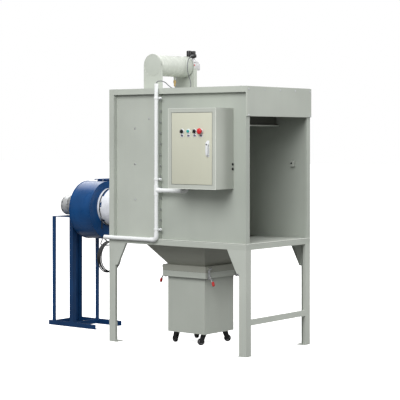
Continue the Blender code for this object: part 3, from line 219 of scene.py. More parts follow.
def meshOf(name, shapes):
    # several shapes in one mesh, seams closed and faces outward
    starts = np.cumsum([0] + [len(points) for points, _ in shapes[:-1]])
    points = np.concatenate([points for points, _ in shapes])
    faces = np.concatenate([faces + start for (_, faces), start in zip(shapes, starts)])
    mesh = bpy.data.meshes.new(name)
    mesh.vertices.add(len(points))
    mesh.vertices.foreach_set("co", points.astype(np.float32).ravel())
    mesh.loops.add(faces.size)
    mesh.loops.foreach_set("vertex_index", faces.astype(np.int32).ravel())
    mesh.polygons.add(len(faces))
    mesh.polygons.foreach_set("loop_start", np.arange(0, faces.size, 4, dtype=np.int32))
    mesh.polygons.foreach_set("loop_total", np.full(len(faces), 4, np.int32))
    mesh.update(calc_edges=True)
    return mesh


def piece(name, shapes, finish, slot, body="root", sharp=38, replaces=(), mend=True):
    # one named object from its shapes: welded, faces turned outwards, painted, and riding on its body
    mesh = meshOf(name, shapes)
    if mend:
        work = bmesh.new()
        work.from_mesh(mesh)
        bmesh.ops.remove_doubles(work, verts=work.verts, dist=0.000002)
        bmesh.ops.recalc_face_normals(work, faces=work.faces)
        work.to_mesh(mesh)
        work.free()
    mesh.shade_smooth()
    mesh.set_sharp_from_angle(angle=radians(sharp))
    mesh.materials.append(finish)
    thing = bpy.data.objects.new(name, mesh)
    scene.collection.objects.link(thing)
    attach(thing, body)
    if replaces:
        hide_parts(*replaces)
    return thing


# Finishes


class Finish:
    # a Principled material and the node wiring that its patterns share

    def __init__(self, name, roughness=0.5, metallic=0.0, **sockets):
        self.material = bpy.data.materials.new(name)
        self.material.use_nodes = True
        self.tree = self.material.node_tree
        self.shader = self.tree.nodes["Principled BSDF"]
        self.shader.inputs["Roughness"].default_value = roughness
        self.shader.inputs["Metallic"].default_value = metallic
        for socket, value in sockets.items():
            self.shader.inputs[socket.replace("_", " ")].default_value = value
        self.place = self.tree.nodes.new("ShaderNodeTexCoord").outputs["Object"]
        self.height = None

    def link(self, source, target):
        # joins one node's output to another's input
        self.tree.links.new(source, target)

    def stretched(self, scale):
        # object coordinates multiplied by a scale along each axis
        mapping = self.tree.nodes.new("ShaderNodeMapping")
        mapping.inputs["Scale"].default_value = scale
        self.link(self.place, mapping.inputs["Vector"])
        return mapping.outputs["Vector"]

    def noise(self, scale, detail=3.0, vector=None, low=0.35, high=0.65, to=(0.0, 1.0)):
        # cloudy numbers spread between the two values of `to`
        noise = self.tree.nodes.new("ShaderNodeTexNoise")
        noise.inputs["Scale"].default_value = scale
        noise.inputs["Detail"].default_value = detail
        self.link(vector or self.place, noise.inputs["Vector"])
        return self.spread(noise.outputs["Fac"], low, high, *to)

    def spread(self, value, low, high, first, last):
        # the value's share of the way from low to high, laid between first and last
        ranged = self.tree.nodes.new("ShaderNodeMapRange")
        for socket, number in zip(("From Min", "From Max", "To Min", "To Max"),
            (low, high, first, last)):
            ranged.inputs[socket].default_value = number
        self.link(value, ranged.inputs["Value"])
        return ranged.outputs["Result"]

    def times(self, first, second):
        # first multiplied by second
        maths = self.tree.nodes.new("ShaderNodeMath")
        maths.operation = "MULTIPLY"
        for socket, value in zip(maths.inputs, (first, second)):
            if isinstance(value, float):
                socket.default_value = value
            else:
                self.link(value, socket)
        return maths.outputs[0]

    def mixed(self, share, first, second):
        # a colour between two others, each a tuple or another node's colour
        mix = self.tree.nodes.new("ShaderNodeMix")
        mix.data_type = "RGBA"
        self.link(share, mix.inputs[0])
        for socket, colour in ((mix.inputs[6], first), (mix.inputs[7], second)):
            if isinstance(colour, tuple):
                socket.default_value = (*colour, 1)
            else:
                self.link(colour, socket)
        return mix.outputs[2]

    def colour(self, source):
        # base colour, from a tuple or from another node
        if isinstance(source, tuple):
            self.shader.inputs["Base Color"].default_value = (*source, 1)
        else:
            self.link(source, self.shader.inputs["Base Color"])

    def roughened(self, source):
        # roughness from another node
        self.link(source, self.shader.inputs["Roughness"])

    def bumped(self, height, distance, strength=1.0):
        # tilts the surface by the slope of the height, over any bumps already there
        bump = self.tree.nodes.new("ShaderNodeBump")
        bump.inputs["Distance"].default_value = distance
        bump.inputs["Strength"].default_value = strength
        self.link(height, bump.inputs["Height"])
        if self.height is not None:
            self.link(self.height, bump.inputs["Normal"])
        self.height = bump.outputs["Normal"]
        self.link(self.height, self.shader.inputs["Normal"])

    def facingUp(self, low=0.6, high=1.0):
        # how much a surface faces the sky, for settled dust
        geometry = self.tree.nodes.new("ShaderNodeNewGeometry")
        split = self.tree.nodes.new("ShaderNodeSeparateXYZ")
        self.link(geometry.outputs["Normal"], split.inputs[0])
        return self.spread(split.outputs["Z"], low, high, 0.0, 1.0)


def shade(colour, factor):
    # each channel multiplied by the factor
    return tuple(channel * factor for channel in colour)


def powderCoat(name, colour, roughness=0.42, dust=(0.62, 0.62, 0.58), dustShare=0.35, drift=0.05,
    wave=0.0012):
    # sprayed paint on sheet metal: slow colour drift, faint runs, orange peel and slightly wavy sheet
    finish = Finish(name, roughness, Specular_IOR_Level=0.42)
    drifting = finish.mixed(finish.noise(1.7), shade(colour, 1 - drift), shade(colour, 1 + drift))
    runs = finish.noise(9.0, 4.0, finish.stretched((1, 1, 0.08)), 0.45, 0.8, (0.0, 0.28))
    streaked = finish.mixed(runs, drifting, shade(colour, 0.9))
    settled = finish.times(finish.facingUp(),
        finish.noise(14.0, 5.0, None, 0.35, 0.7, (0.2 * dustShare, dustShare)))
    finish.colour(finish.mixed(settled, streaked, dust))
    finish.roughened(finish.noise(25.0, 4.0, None, 0.3, 0.7, (roughness - 0.06, roughness + 0.1)))
    finish.bumped(finish.noise(2.3, 1.0, None, 0.2, 0.8), wave)
    finish.bumped(finish.noise(900.0, 2.0, None, 0.3, 0.7), 0.00012)
    return finish.material


def enamel(name, colour, roughness=0.3):
    # deep gloss enamel: reflects more at a glancing angle, with dull patches and brush lines
    finish = Finish(name, roughness, Specular_IOR_Level=0.12, Coat_Weight=1.0, Coat_Roughness=0.3,
        Coat_IOR=1.25)
    cloud = finish.noise(4.0, 4.0)
    finish.colour(finish.mixed(cloud, shade(colour, 0.82), shade(colour, 1.2)))
    finish.roughened(finish.noise(18.0, 5.0, None, 0.3, 0.75, (roughness, roughness + 0.2)))
    finish.bumped(finish.noise(60.0, 3.0, finish.stretched((1, 1, 0.3)), 0.3, 0.7), 0.0003)
    finish.bumped(finish.noise(650.0, 2.0), 0.00008)
    return finish.material


def bareMetal(name, colour, roughness=0.35, grain=(1, 1, 40), mottled=0.15):
    # plated or cast metal: mottled tone, fine scratches along one direction
    finish = Finish(name, roughness, 1.0)
    finish.colour(finish.mixed(finish.noise(35.0, 5.0), shade(colour, 1 - mottled),
        shade(colour, 1 + mottled / 2)))
    finish.roughened(finish.noise(60.0, 4.0, None, 0.3, 0.7, (roughness - 0.08, roughness + 0.14)))
    finish.bumped(finish.noise(45.0, 3.0, finish.stretched(grain), 0.3, 0.7), 0.00006)
    return finish.material


def moulded(name, colour, roughness=0.4, grain=1400.0, drift=0.06, **sockets):
    # plastic or rubber with a fine moulded grain and handling marks
    finish = Finish(name, roughness, **sockets)
    finish.colour(finish.mixed(finish.noise(20.0, 4.0), shade(colour, 1 - drift),
        shade(colour, 1 + drift)))
    finish.roughened(finish.noise(90.0, 4.0, None, 0.3, 0.7, (roughness - 0.05, roughness + 0.1)))
    finish.bumped(finish.noise(grain, 2.0), 0.00005)
    return finish.material


def cableSheath(name, colour):
    # rubber sheath, dusty in patches
    finish = Finish(name, 0.5)
    finish.colour(finish.mixed(finish.noise(30.0, 4.0, None, 0.4, 0.75), colour, shade(colour, 2.2)))
    finish.bumped(finish.noise(500.0, 2.0), 0.0001)
    return finish.material


def wovenCloth(name, colour, threads=260.0):
    # plain weave along the piece's own UV, with slubs, soft sheen and soiling
    finish = Finish(name, 0.85, Sheen_Weight=0.35, Sheen_Roughness=0.4)
    uv = finish.tree.nodes.new("ShaderNodeUVMap").outputs["UV"]
    waves = []
    for direction in ("X", "Y"):
        wave = finish.tree.nodes.new("ShaderNodeTexWave")
        wave.bands_direction = direction
        wave.inputs["Scale"].default_value = threads
        wave.inputs["Distortion"].default_value = 0.6
        finish.link(uv, wave.inputs["Vector"])
        waves.append(wave.outputs["Fac"])
    weave = finish.times(*waves)
    soiled = finish.mixed(finish.noise(7.0, 5.0, None, 0.42, 0.75), colour, shade(colour, 0.82))
    finish.colour(finish.mixed(finish.spread(weave, 0.0, 1.0, 0.0, 0.25), soiled, shade(colour, 1.06)))
    finish.bumped(weave, 0.0004)
    finish.bumped(finish.noise(120.0, 4.0), 0.0003)
    return finish.material


greyTone = (0.475, 0.505, 0.455)
looks = {
    "grey": powderCoat("cabinet_grey", greyTone),
    # a lighter copy of the cabinet grey for legs, floor pan and brace: painted light on their front-lit faces
    "legPaintedLight": powderCoat("leg_grey_painted_light", (0.52, 0.55, 0.50)),
    # a pale grey for thin strips along edges and lips: painted highlight where the edges catch the light
    "paintedHighlightGrey": powderCoat("painted_highlight_grey", (0.74, 0.77, 0.71), 0.3, dustShare=0.1),
    # near-black grey for the baffle plate: painted shade, the plate stands in deep shadow inside the booth
    "paintedShadeGrey": powderCoat("painted_shade_grey", (0.13, 0.135, 0.115), 0.5),
    # front module side panels, darker and greener: partly their own tint, partly painted shade from the control
    # box
    "frontPanelToneAndShade": powderCoat("front_panel_tone_and_painted_shade", (0.435, 0.468, 0.42)),
    # darker grey for the hopper: painted shade, it stands in shade under the cabinet
    "hopperPaintedShade": powderCoat("hopper_painted_shade", (0.36, 0.37, 0.32), 0.48),
    "boxGrey": powderCoat("box_grey", (0.49, 0.515, 0.465), 0.38),
    "tankGrey": powderCoat("tank_grey", (0.54, 0.565, 0.515), 0.24, dustShare=0.1, wave=0.0002),
    "beige": powderCoat("door_beige", (0.585, 0.59, 0.48), 0.36, dustShare=0.1, drift=0.03),
    "fanBlue": enamel("fan_blue", (0.004, 0.06, 0.2), 0.24),
    # a darker copy of the fan blue for the stand: painted shade under the fan and motor
    "standBluePaintedShade": enamel("stand_blue_painted_shade", (0.006, 0.04, 0.125), 0.38),
    "zinc": bareMetal("zinc_plate", (0.62, 0.63, 0.64), 0.32),
    "castAlloy": bareMetal("cast_alloy", (0.66, 0.67, 0.68), 0.42, (1, 1, 1)),
    "paleAlloy": moulded("pale_alloy", (0.7, 0.7, 0.71), 0.38, 500.0, 0.08, Metallic=0.2),
    "handlePaint": moulded("handle_silver", (0.8, 0.82, 0.84), 0.3, 900.0, 0.03, Metallic=0.15),
    "brass": bareMetal("brass", (0.78, 0.56, 0.25), 0.3),
    "galvanised": bareMetal("galvanised_pipe", (0.6, 0.61, 0.62), 0.42, (1, 1, 1), 0.12),
    "silverPaint": moulded("motor_silver", (0.5, 0.51, 0.51), 0.35, 700.0, 0.08, Metallic=0.35),
    "blackPlastic": moulded("black_plastic", (0.012, 0.012, 0.013), 0.35),
    "greyPlastic": moulded("grey_plastic", (0.62, 0.63, 0.62), 0.45),
    "paleMarker": moulded("legend_inlay", (0.14, 0.13, 0.17), 0.4),
    "greenPlastic": moulded("green_plastic", (0.01, 0.36, 0.33), 0.25, Coat_Weight=0.4),
    "redPlastic": moulded("red_plastic", (0.62, 0.018, 0.02), 0.25, Coat_Weight=0.4),
    "redGrip": moulded("red_grip", (0.6, 0.03, 0.025), 0.45),
    "whitePlastic": moulded("white_pipe", (0.86, 0.88, 0.88), 0.28, 300.0, 0.02),
    "rubber": moulded("black_rubber", (0.016, 0.016, 0.017), 0.62, 700.0, 0.2),
    "hubGrey": moulded("hub_grey", (0.3, 0.3, 0.31), 0.5),
    "greyCable": cableSheath("grey_cable", (0.1, 0.105, 0.11)),
    "blackCable": cableSheath("black_cable", (0.012, 0.012, 0.013)),
    "ductCloth": wovenCloth("duct_cloth", (0.86, 0.88, 0.93)),
    "filterPaper": moulded("filter_paper", (0.78, 0.78, 0.74), 0.9, 300.0, 0.05),
}

# a finish and its slot, for the pieces that share both
zincPlated = (looks["zinc"], "latch_steel")
blackFitting = (looks["blackPlastic"], "selector_black")
greyBody = (looks["grey"], "cabinet_grey")
paleTank = (looks["tankGrey"], "cabinet_grey")
paintedHighlightEdge = (looks["paintedHighlightGrey"], "cabinet_grey")
steelPipe = (looks["galvanised"], "pipe_steel")
print("finishes mixed")

# Cables, on the routes of their solids


def smoothLine(knots, perSpan):
    # the cubic through the knots whose slope at each is half the step between its neighbours
    knots = np.asarray(knots, float)
    padded = np.concatenate((2 * knots[:1] - knots[1:2], knots, 2 * knots[-1:] - knots[-2:-1]))
    a, b, c, d = (padded[i:len(padded) - 3 + i, None] for i in range(4))
    t = (np.arange(perSpan) / perSpan)[None, :, None]
    line = 0.5 * (2 * b + (c - a) * t + (2 * a - 5 * b + 4 * c - d) * t**2 + (3 * b - a - 3 * c + d) * t**3)
    return np.concatenate((line.reshape(-1, 3), knots[-1:]))


def cable(name, line, radius, finish, nodes):
    # a round bar whose centre line is the given points
    data = bpy.data.curves.new(name, "CURVE")
    data.dimensions = "3D"
    data.bevel_depth = radius
    data.bevel_resolution = 4
    data.use_fill_caps = True
    spline = data.splines.new("POLY")
    spline.points.add(len(line) - 1)
    spline.points.foreach_set("co",
        np.concatenate((line, np.ones((len(line), 1))), 1).astype(np.float32).ravel())
    spline.use_smooth = True
    data.materials.append(finish)
    thing = bpy.data.objects.new(name, data)
    scene.collection.objects.link(thing)
    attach(thing, "root")
    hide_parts(*nodes)
    return thing


conduit = {
    "x": -0.0185, "down": 0.845, "top": 2.035, "low": 0.828, "endY": 1.384, "radius": 0.016,
    "branchZ": 1.212, "branchEndY": 0.595, "glandY": 0.540, "mouth": 0.030, "bend": 0.034,
    "clipHeights": (1.923, 1.297, 0.910),
}
valveCable = {
    "radius": 0.0035,
    "route": [
        (-0.0185, 0.845, 2.006), (-0.0185, 0.845, 2.033), (-0.012, 0.840, 2.050), (0.015, 0.828, 2.056),
        (0.050, 0.815, 2.046), (0.085, 0.808, 2.022), (0.130, 0.815, 2.006), (0.200, 0.845, 2.0045),
        (0.300, 0.890, 2.0045), (0.400, 0.930, 2.0045), (0.480, 0.957, 2.0045), (0.520, 0.968, 2.0055),
        (0.552, 0.974, 2.016), (0.570, 0.977, 2.042), (0.568, 0.979, 2.075), (0.552, 0.981, 2.115),
        (0.537, 0.982, 2.155), (0.533, 0.982, 2.200), (0.546, 0.983, 2.245), (0.578, 0.985, 2.277),
        (0.615, 0.991, 2.290), (0.643, 1.004, 2.288), (0.661, 1.026, 2.286), (0.667, 1.050, 2.285),
        (0.667, 1.0575, 2.285),
    ],
}
fanCable = {
    "radius": 0.0045, "turns": 5, "perTurn": 16, "ring": 0.118, "middle": (0.060, 1.402, 0.668),
        "pitch": 0.0086,
    "before": [
        (-0.0185, 1.356, 0.828), (-0.0185, 1.384, 0.828), (-0.0155, 1.3991, 0.8275),
            (-0.0069, 1.4119, 0.8255),
        (0.0059, 1.4205, 0.8205), (0.021, 1.4235, 0.811), (0.040, 1.4235, 0.7965),
    ],
    "after": [
        (0.095, 1.386, 0.7815), (0.130, 1.398, 0.776), (0.170, 1.425, 0.770), (0.220, 1.470, 0.762),
        (0.300, 1.560, 0.748), (0.400, 1.680, 0.728), (0.480, 1.790, 0.712), (0.550, 1.900, 0.701),
        (0.620, 2.000, 0.697), (0.690, 2.070, 0.704), (0.750, 2.110, 0.728), (0.795, 2.150, 0.780),
        (0.812, 2.185, 0.850), (0.806, 2.203, 0.900), (0.785, 2.208, 0.932), (0.757, 2.208, 0.9455),
        (0.731, 2.208, 0.9465), (0.7062, 2.208, 0.9568), (0.696, 2.208, 0.9815), (0.696, 2.208, 1.0017),
    ],
}

valveLine = np.array([at(*p) for p in smoothLine(valveCable["route"], 4)])
cable("lead_to_valves", valveLine, valveCable["radius"], looks["greyCable"],
    ["valve_cable"])

windings = np.linspace(0, 2 * pi * fanCable["turns"], fanCable["turns"] * fanCable["perTurn"] + 1)
# every turn rests on the hook at the top, and they hang to different depths
hang = 0.0015 + 0.010 * np.sin(0.31 * windings + 0.4) ** 2
wobble = fanCable["ring"] + hang * (1 - np.cos(windings)) / 2
coilX, coilY, coilZ = fanCable["middle"]
halfCoil = fanCable["pitch"] * fanCable["turns"] / 2
coilKnots = np.stack((
    coilX + wobble * np.sin(windings),
    coilY + halfCoil - fanCable["pitch"] * windings / (2 * pi),
    coilZ + wobble * np.cos(windings),
), 1)
fanKnots = np.concatenate((fanCable["before"], coilKnots, fanCable["after"]))
fanLine = np.array([at(*p) for p in smoothLine(fanKnots, 4)])
cable("lead_to_motor", fanLine, fanCable["radius"], looks["blackCable"],
    ["fan_cable", "fan_cable_coil"])
print("cables laid")

# Sheet metal that keeps its own mesh

paintOf = {
    # legs, floor pan and brace take the lighter painted-light grey
    "legPaintedLight": ["leg_front_left", "leg_front_right", "leg_rear_left", "leg_rear_right", "floor_pan",
        "front_brace"],
    "grey": [
        "base_frame", "side_panel_left_rear", "side_panel_right_rear", "rear_panel", "roof_cap",
        "header_fascia", "tube_sheet", "tank_support_near", "tank_support_far", "bin_shell",
    ],
    # front module panels: own tint plus painted shade from the control box
    "frontPanelToneAndShade": ["side_panel_left_front", "side_panel_right_front"],
    # the hopper takes the darker painted shade grey
    "hopperPaintedShade": ["hopper"],
    # the baffle plate takes the dark painted shade
    "paintedShadeGrey": ["baffle_plate"],
    "boxGrey": ["control_box_shell"],
    # the fan stand takes the darker painted shade blue
    "standBluePaintedShade": ["fan_stand"],
    "castAlloy": ["fan_impeller"],
    "galvanised": ["contactor_board"],
}
for look, nodes in paintOf.items():
    for node in nodes:
        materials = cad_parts[node].data.materials
        materials.clear()
        materials.append(looks[look])
print("sheet metal painted")

# Screws and bolts


def panHead(radius, height):
    # domed head: height falls off as the square of the radius
    share = np.linspace(0, 1, 5)
    dome = [(radius * s, height * (1 - 0.55 * s * s)) for s in share]
    return dome + [(radius, 0), (0, 0)]


def hexHead(radius, height, washer, washerHeight):
    # a six-sided turning with its edge cut back, standing on a round washer
    head = turned([(0, height), (radius * 0.86, height), (radius, height * 0.86), (radius, 0), (0, 0)],
        (0, 0, 0), (0, 0, 1), 6)
    plate = turned([(0, washerHeight), (washer, washerHeight), (washer, 0), (0, 0)], (0, 0, 0),
        (0, 0, 1), 14)
    head = (head[0] + (0, 0, washerHeight), head[1])
    return [head, plate]


def facing(shape, direction):
    # a shape made along +Z, laid along the direction
    side, other = crossFrame(direction)
    points, faces = shape
    return points[:, :1] * side + points[:, 1:2] * other + points[:, 2:] * unit(direction), faces


fastener = {"screwRadius": 0.0052, "screwHeight": 0.0032, "boltRadius": 0.0075, "boltHeight": 0.005}
screw = turned(panHead(fastener["screwRadius"], fastener["screwHeight"]), (0, 0, 0), (0, 0, 1), 14)
screwWasher = turned([(0, 0.001), (0.0078, 0.001), (0.0082, 0), (0, 0)], (0, 0, 0), (0, 0, 1), 14)
bolt = hexHead(fastener["boltRadius"], fastener["boltHeight"], 0.0105, 0.0014)


def screwsAt(places, direction, washers=True):
    # pan heads, and washers under them, copied to each place and facing the direction
    shapes = [copies(facing(screw, direction), places)]
    if washers:
        shapes.append(copies(facing(screwWasher, direction), places))
    return shapes


def boltsAt(places, direction):
    # hexagon heads on washers, copied to each place and facing the direction
    return [copies(facing(shape, direction), places) for shape in bolt]


skin = 0.0001
panelX = local("side_panel_left_rear")[0][0] + 0.032
sideScrews = [(1.110, 1.689), (1.109, 1.410), (1.107, 1.131), (0.9665, 1.767)]
piece("side_panel_screws", (
    screwsAt([at(panelX - skin, y, z) for y, z in sideScrews], (-1, 0, 0))
    + screwsAt([at(bodyWidth - panelX + skin, y, z) for y, z in sideScrews], (1, 0, 0))
), *zincPlated)

postFaceY = bodyLength - 0.048
postScrews = [(0.022, z) for z in (0.883, 1.090, 1.281, 1.498, 1.715, 1.900)]
piece("rear_post_screws", screwsAt(
    [at(x, postFaceY - skin, z) for side in (0, 1)
        for x, z in ((abs(side * bodyWidth - x), z) for x, z in postScrews)],
    (0, -1, 0),
), *zincPlated)

jointY = local("side_panel_left_front")[1][1]
jointHeights = np.linspace(0.895, 1.905, 13)
jointBolts = [at(x, jointY - 0.002 - skin, z) for x in (0.020, bodyWidth - 0.020) for z in jointHeights]
jointNuts = [at(x, jointY + 0.0023 + skin, z) for x in (0.020, bodyWidth - 0.020) for z in jointHeights]
piece("joint_bolts", boltsAt(jointBolts, (0, -1, 0)) + boltsAt(jointNuts, (0, 1, 0)), *zincPlated)

fasciaLow, fasciaHigh = local("header_fascia")
fasciaTop = [(x, fasciaHigh[2] - 0.022) for x in np.linspace(0.0195, bodyWidth - 0.0195, 5)]
fasciaCorners = [(0.0195, fasciaLow[2] + 0.0085), (bodyWidth - 0.0195, fasciaLow[2] + 0.0085)]
piece("fascia_screws", screwsAt(
    [at(x, fasciaLow[1] - skin, z) for x, z in fasciaTop + fasciaCorners], (0, -1, 0)
), looks["galvanised"], "latch_steel")

roofTop = local("roof_cap")[1][2]
roofScrews = [(x, y) for x in (0.020, bodyWidth - 0.020) for y in (0.06, 0.47, 0.88, 1.29)]
roofScrews += [(bodyMiddle, 0.020), (bodyMiddle, bodyLength - 0.020)]
piece("roof_screws", screwsAt([at(x, y, roofTop + skin) for x, y in roofScrews], (0, 0, 1)), *greyBody)

rearScrews = [(x, z) for x in (0.024, bodyWidth - 0.024) for z in (0.89, 1.15, 1.41, 1.67, 1.90)]
rearScrews += [(x, z) for x in (0.26, 0.59) for z in (0.86, 1.93)]
piece("rear_panel_screws", screwsAt([at(x, bodyLength + skin, z) for x, z in rearScrews], (0, 1, 0)),
    *zincPlated)

frameLow = local("base_frame")[0]
frameBolts = [(x, y) for x in (0.022, bodyWidth - 0.022)
    for y in (0.090, 0.150, bodyLength - 0.150, bodyLength - 0.090)]
piece("frame_bolts", boltsAt([at(x, y, frameLow[2] - skin) for x, y in frameBolts], (0, 0, -1)),
    *zincPlated)
panTop = local("floor_pan")[1][2]
edgeRod = circleOutline(0.0026, 12)
# pale rods along the floor pan's top edges: painted highlight along the edges
piece("pan_edges", [
    carried(edgeRod, [at(x, 0.004, panTop - 0.0030), at(x, bodyLength - 0.004, panTop - 0.0030)],
        (0, 0, 1)) for x in (-0.0006, bodyWidth + 0.0006)
] + [
    carried(edgeRod,
        [at(0.004, -0.0006, panTop - 0.0030), at(bodyWidth - 0.004, -0.0006, panTop - 0.0030)],
        (0, 0, 1)),
], *paintedHighlightEdge)
baffleLow, baffleHigh = local("baffle_plate")
# a pale strip along the baffle's lower edge: painted highlight where the folded lip catches the light
piece("baffle_lip", [
    roundBlock(at(baffleLow[0] + 0.002, baffleLow[1] - 0.004, baffleLow[2] - 0.003),
        at(baffleHigh[0] - 0.002, baffleLow[1] + 0.004, baffleLow[2] + 0.007), 0.0025),
], *paintedHighlightEdge)
print("screws driven")

# Conduit, clips and the elbow into the control box


def pipe(path, radius, side, mouth, wall=0.002, segments=24):
    # a tube open at both ends: its outline goes back inside from each mouth
    path = np.asarray(path, float)
    come, leave = unit(path[1] - path[0]), unit(path[-1] - path[-2])
    inner = (radius - wall) / radius
    start = [path[0] + come * mouth] * 2 + [path[0]] * 2
    end = [path[-1]] * 2 + [path[-1] - leave * mouth] * 2
    full = np.array(start[:2] + [path[0],
        path[0] + come * 0.0006] + list(path[1:-1]) + [path[-1] - leave * 0.0006, path[-1]] + end[2:])
    sizes = np.concatenate(([0.0, inner], [inner, 1.0], np.ones(len(path) - 2), [1.0, inner],
        [inner, 0.0]))
    steps = unit(np.diff(path, axis=0))
    run = unit(np.concatenate((steps[:1], steps[:-1] + steps[1:], steps[-1:])))
    run = np.concatenate(([come] * 3, run[:1], run[1:-1], run[-1:], [leave] * 3))
    side = np.asarray(side, float)
    across = unit(side - (run @ side)[:, None] * run)
    upward = np.cross(run, across)
    outline = circleOutline(radius, segments)
    grid = full[:, None] + sizes[:, None, None] * (
        outline[None, :, 0, None] * across[:, None] + outline[None, :, 1, None] * upward[:, None]
    )
    return sheetOf(grid, wrapColumns=True)


cx, cr = conduit["x"], conduit["radius"]
mainCorners = [
    at(cx, conduit["down"], conduit["top"]), at(cx, conduit["down"], conduit["low"]),
    at(cx, conduit["endY"], conduit["low"]),
]
mainPath = bentPath(mainCorners, conduit["bend"], 10)
branchStart, branchEnd = at(cx, conduit["down"], conduit["branchZ"]), at(cx, conduit["branchEndY"],
    conduit["branchZ"])
socket = circleOutline(cr + 0.0028, 24)
elbowCorners = [mainCorners[1] + (0, 0, 0.058), mainCorners[1], mainCorners[1] + (0, 0.058, 0)]
piece("conduit_pipe", [
    pipe(mainPath, cr, (1, 0, 0), conduit["mouth"]),
    carried(circleOutline(cr, 24), [branchStart, branchEnd], (1, 0, 0)),
    carried(socket, bentPath(elbowCorners, conduit["bend"], 10), (1, 0, 0)),
    carried(socket, [branchStart - (0, 0, 0.040), branchStart + (0, 0, 0.040)], (1, 0, 0)),
    carried(socket, [branchStart, branchStart - (0, 0.046, 0)], (1, 0, 0)),
], looks["whitePlastic"], "conduit_white", replaces=["conduit"])

clip = {"width": 0.018, "thick": 0.0022, "tab": 0.020}
clipShapes = []
clipScrews = []
pipePlane = local("side_panel_left_front")[0][0] - 0.0003
for height in conduit["clipHeights"]:
    middle = at(cx, conduit["down"], height)
    arc = np.linspace(-pi / 2, pi / 2, 13) + pi
    saddle = middle + (cr + 0.0016) * np.stack((np.cos(arc), np.sin(arc), 0 * arc), 1)
    foot = (pipePlane - clip["thick"]) + baseLow.x
    tabs = [np.array((foot, saddle[-1][1] - clip["tab"], height)),
        np.array((foot, saddle[-1][1] - 0.002, height))]
    far = [np.array((foot, saddle[0][1] + 0.002, height)),
        np.array((foot, saddle[0][1] + clip["tab"], height))]
    strip = np.array(tabs + list(saddle[::-1]) + far)
    clipShapes.append(carried(roundOutline(clip["width"], clip["thick"], 0.0009, 2), strip, (0, 0, 1)))
    clipScrews += [tabs[0] + (-0.0012, 0.007, 0), far[1] + (-0.0012, -0.007, 0)]
piece("conduit_clips", clipShapes, looks["whitePlastic"], "conduit_white", sharp=50)
piece("clip_screws", screwsAt(clipScrews, (-1, 0, 0), False), *zincPlated)

boxLow, boxHigh = local("control_box_shell")
glandCorners = [
    at(cx, conduit["branchEndY"] - 0.0004, conduit["branchZ"]),
        at(cx, conduit["glandY"], conduit["branchZ"]),
    at(cx, conduit["glandY"], boxLow[2] + 0.012),
]
glandPath = bentPath(glandCorners, 0.022, 14)
dense = smoothLine(glandPath, 4)
ribbed = 1 + 0.09 * np.abs(np.sin(np.linspace(0, 11 * pi, len(dense))))
piece("box_elbow", [
    carried(circleOutline(cr * 0.9, 24), dense, (1, 0, 0), ribbed),
    carried(circleOutline(cr + 0.0022, 24), [glandCorners[0], glandCorners[0] - (0, 0.014, 0)],
        (1, 0, 0)),
    turned([(0, 0.0085), (0.019, 0.0085), (0.0205, 0.007), (0.0205, 0.001), (0.019, 0), (0, 0)],
           at(cx, conduit["glandY"], boxLow[2] - 0.0092), (0, 0, 1), 6),
], looks["greyPlastic"], "gland_grey", replaces=["box_gland"], sharp=50)
print("conduit run")

# Control box: door, handle, buttons

doorLow, doorHigh = local("control_box_door")
doorMiddle = (doorLow + doorHigh) / 2
boxFront = doorLow[0]
door = {"edge": 0.0013, "gasketIn": 0.012, "gasketWidth": 0.008, "stiffener": 0.006,
    "stiffenerIn": 0.026, "gutter": 0.0032}
button = {"height": 1.665, "pitch": 0.060}
buttonHeight = button["height"]
buttonYs = [doorMiddle[1] + button["pitch"] * (1.5 - i) for i in range(4)]


def doorPlate(low, high, edge):
    # a block with quarter-round edges between two corners
    return roundBlock(at(*low), at(*high), edge, 3)


piece("box_door", [doorPlate(doorLow, doorHigh, door["edge"])], looks["beige"], "door_beige", "door",
    replaces=["control_box_door"])


def frameStrip(lowY, lowZ, highY, highZ, startX, deep, width):
    # a rectangular band standing on the plane x = startX: four corners carried round a loop
    corners = np.array([(lowY, lowZ), (highY, lowZ), (highY, highZ), (lowY, highZ)])
    inward = np.array([(1, 1), (-1, 1), (-1, -1), (1, -1)])
    rows = []
    for into, x in ((0, startX), (0, startX + deep), (width, startX + deep), (width, startX)):
        ring = corners + inward * into
        rows.append([at(x, y, z) for y, z in ring])
    return sheetOf(np.array(rows), True, True)


inset = door["gasketIn"]
piece("door_gasket", [
    frameStrip(doorLow[1] + inset, doorLow[2] + inset, doorHigh[1] - inset, doorHigh[2] - inset,
               doorHigh[0] - 0.0002, 0.0035, door["gasketWidth"]),
], *blackFitting, "door")
stiff = door["stiffener"]
piece("door_stiffener", [
    frameStrip(doorLow[1] + door["stiffenerIn"], doorLow[2] + door["stiffenerIn"],
        doorHigh[1] - door["stiffenerIn"], doorHigh[2] - door["stiffenerIn"],
               doorHigh[0] - 0.0002, stiff, 0.002),
], looks["beige"], "door_beige", "door")
piece("door_gutter", [
    frameStrip(doorLow[1] - door["gutter"], doorLow[2] - door["gutter"], doorHigh[1] + door["gutter"],
        doorHigh[2] + door["gutter"],
               boxFront + 0.0022, 0.012, 0.0014),
], looks["boxGrey"], "cabinet_grey")

hingeX = boxFront + 0.0015
hinge = {"length": 0.050}
hingeShapes = []
for z in (doorLow[2] + 0.070, doorHigh[2] - 0.070):
    hingeShapes.append(turned(
        [(0, hinge["length"]), (0.0034, hinge["length"]), (0.0042, hinge["length"] - 0.001),
            (0.0042, 0.001), (0.0034, 0), (0, 0)],
        at(hingeX + 0.0068, doorHigh[1] - 0.0065, z - hinge["length"] / 2), (0, 0, 1), 16))
piece("door_hinge_barrels", hingeShapes, *zincPlated, "door")

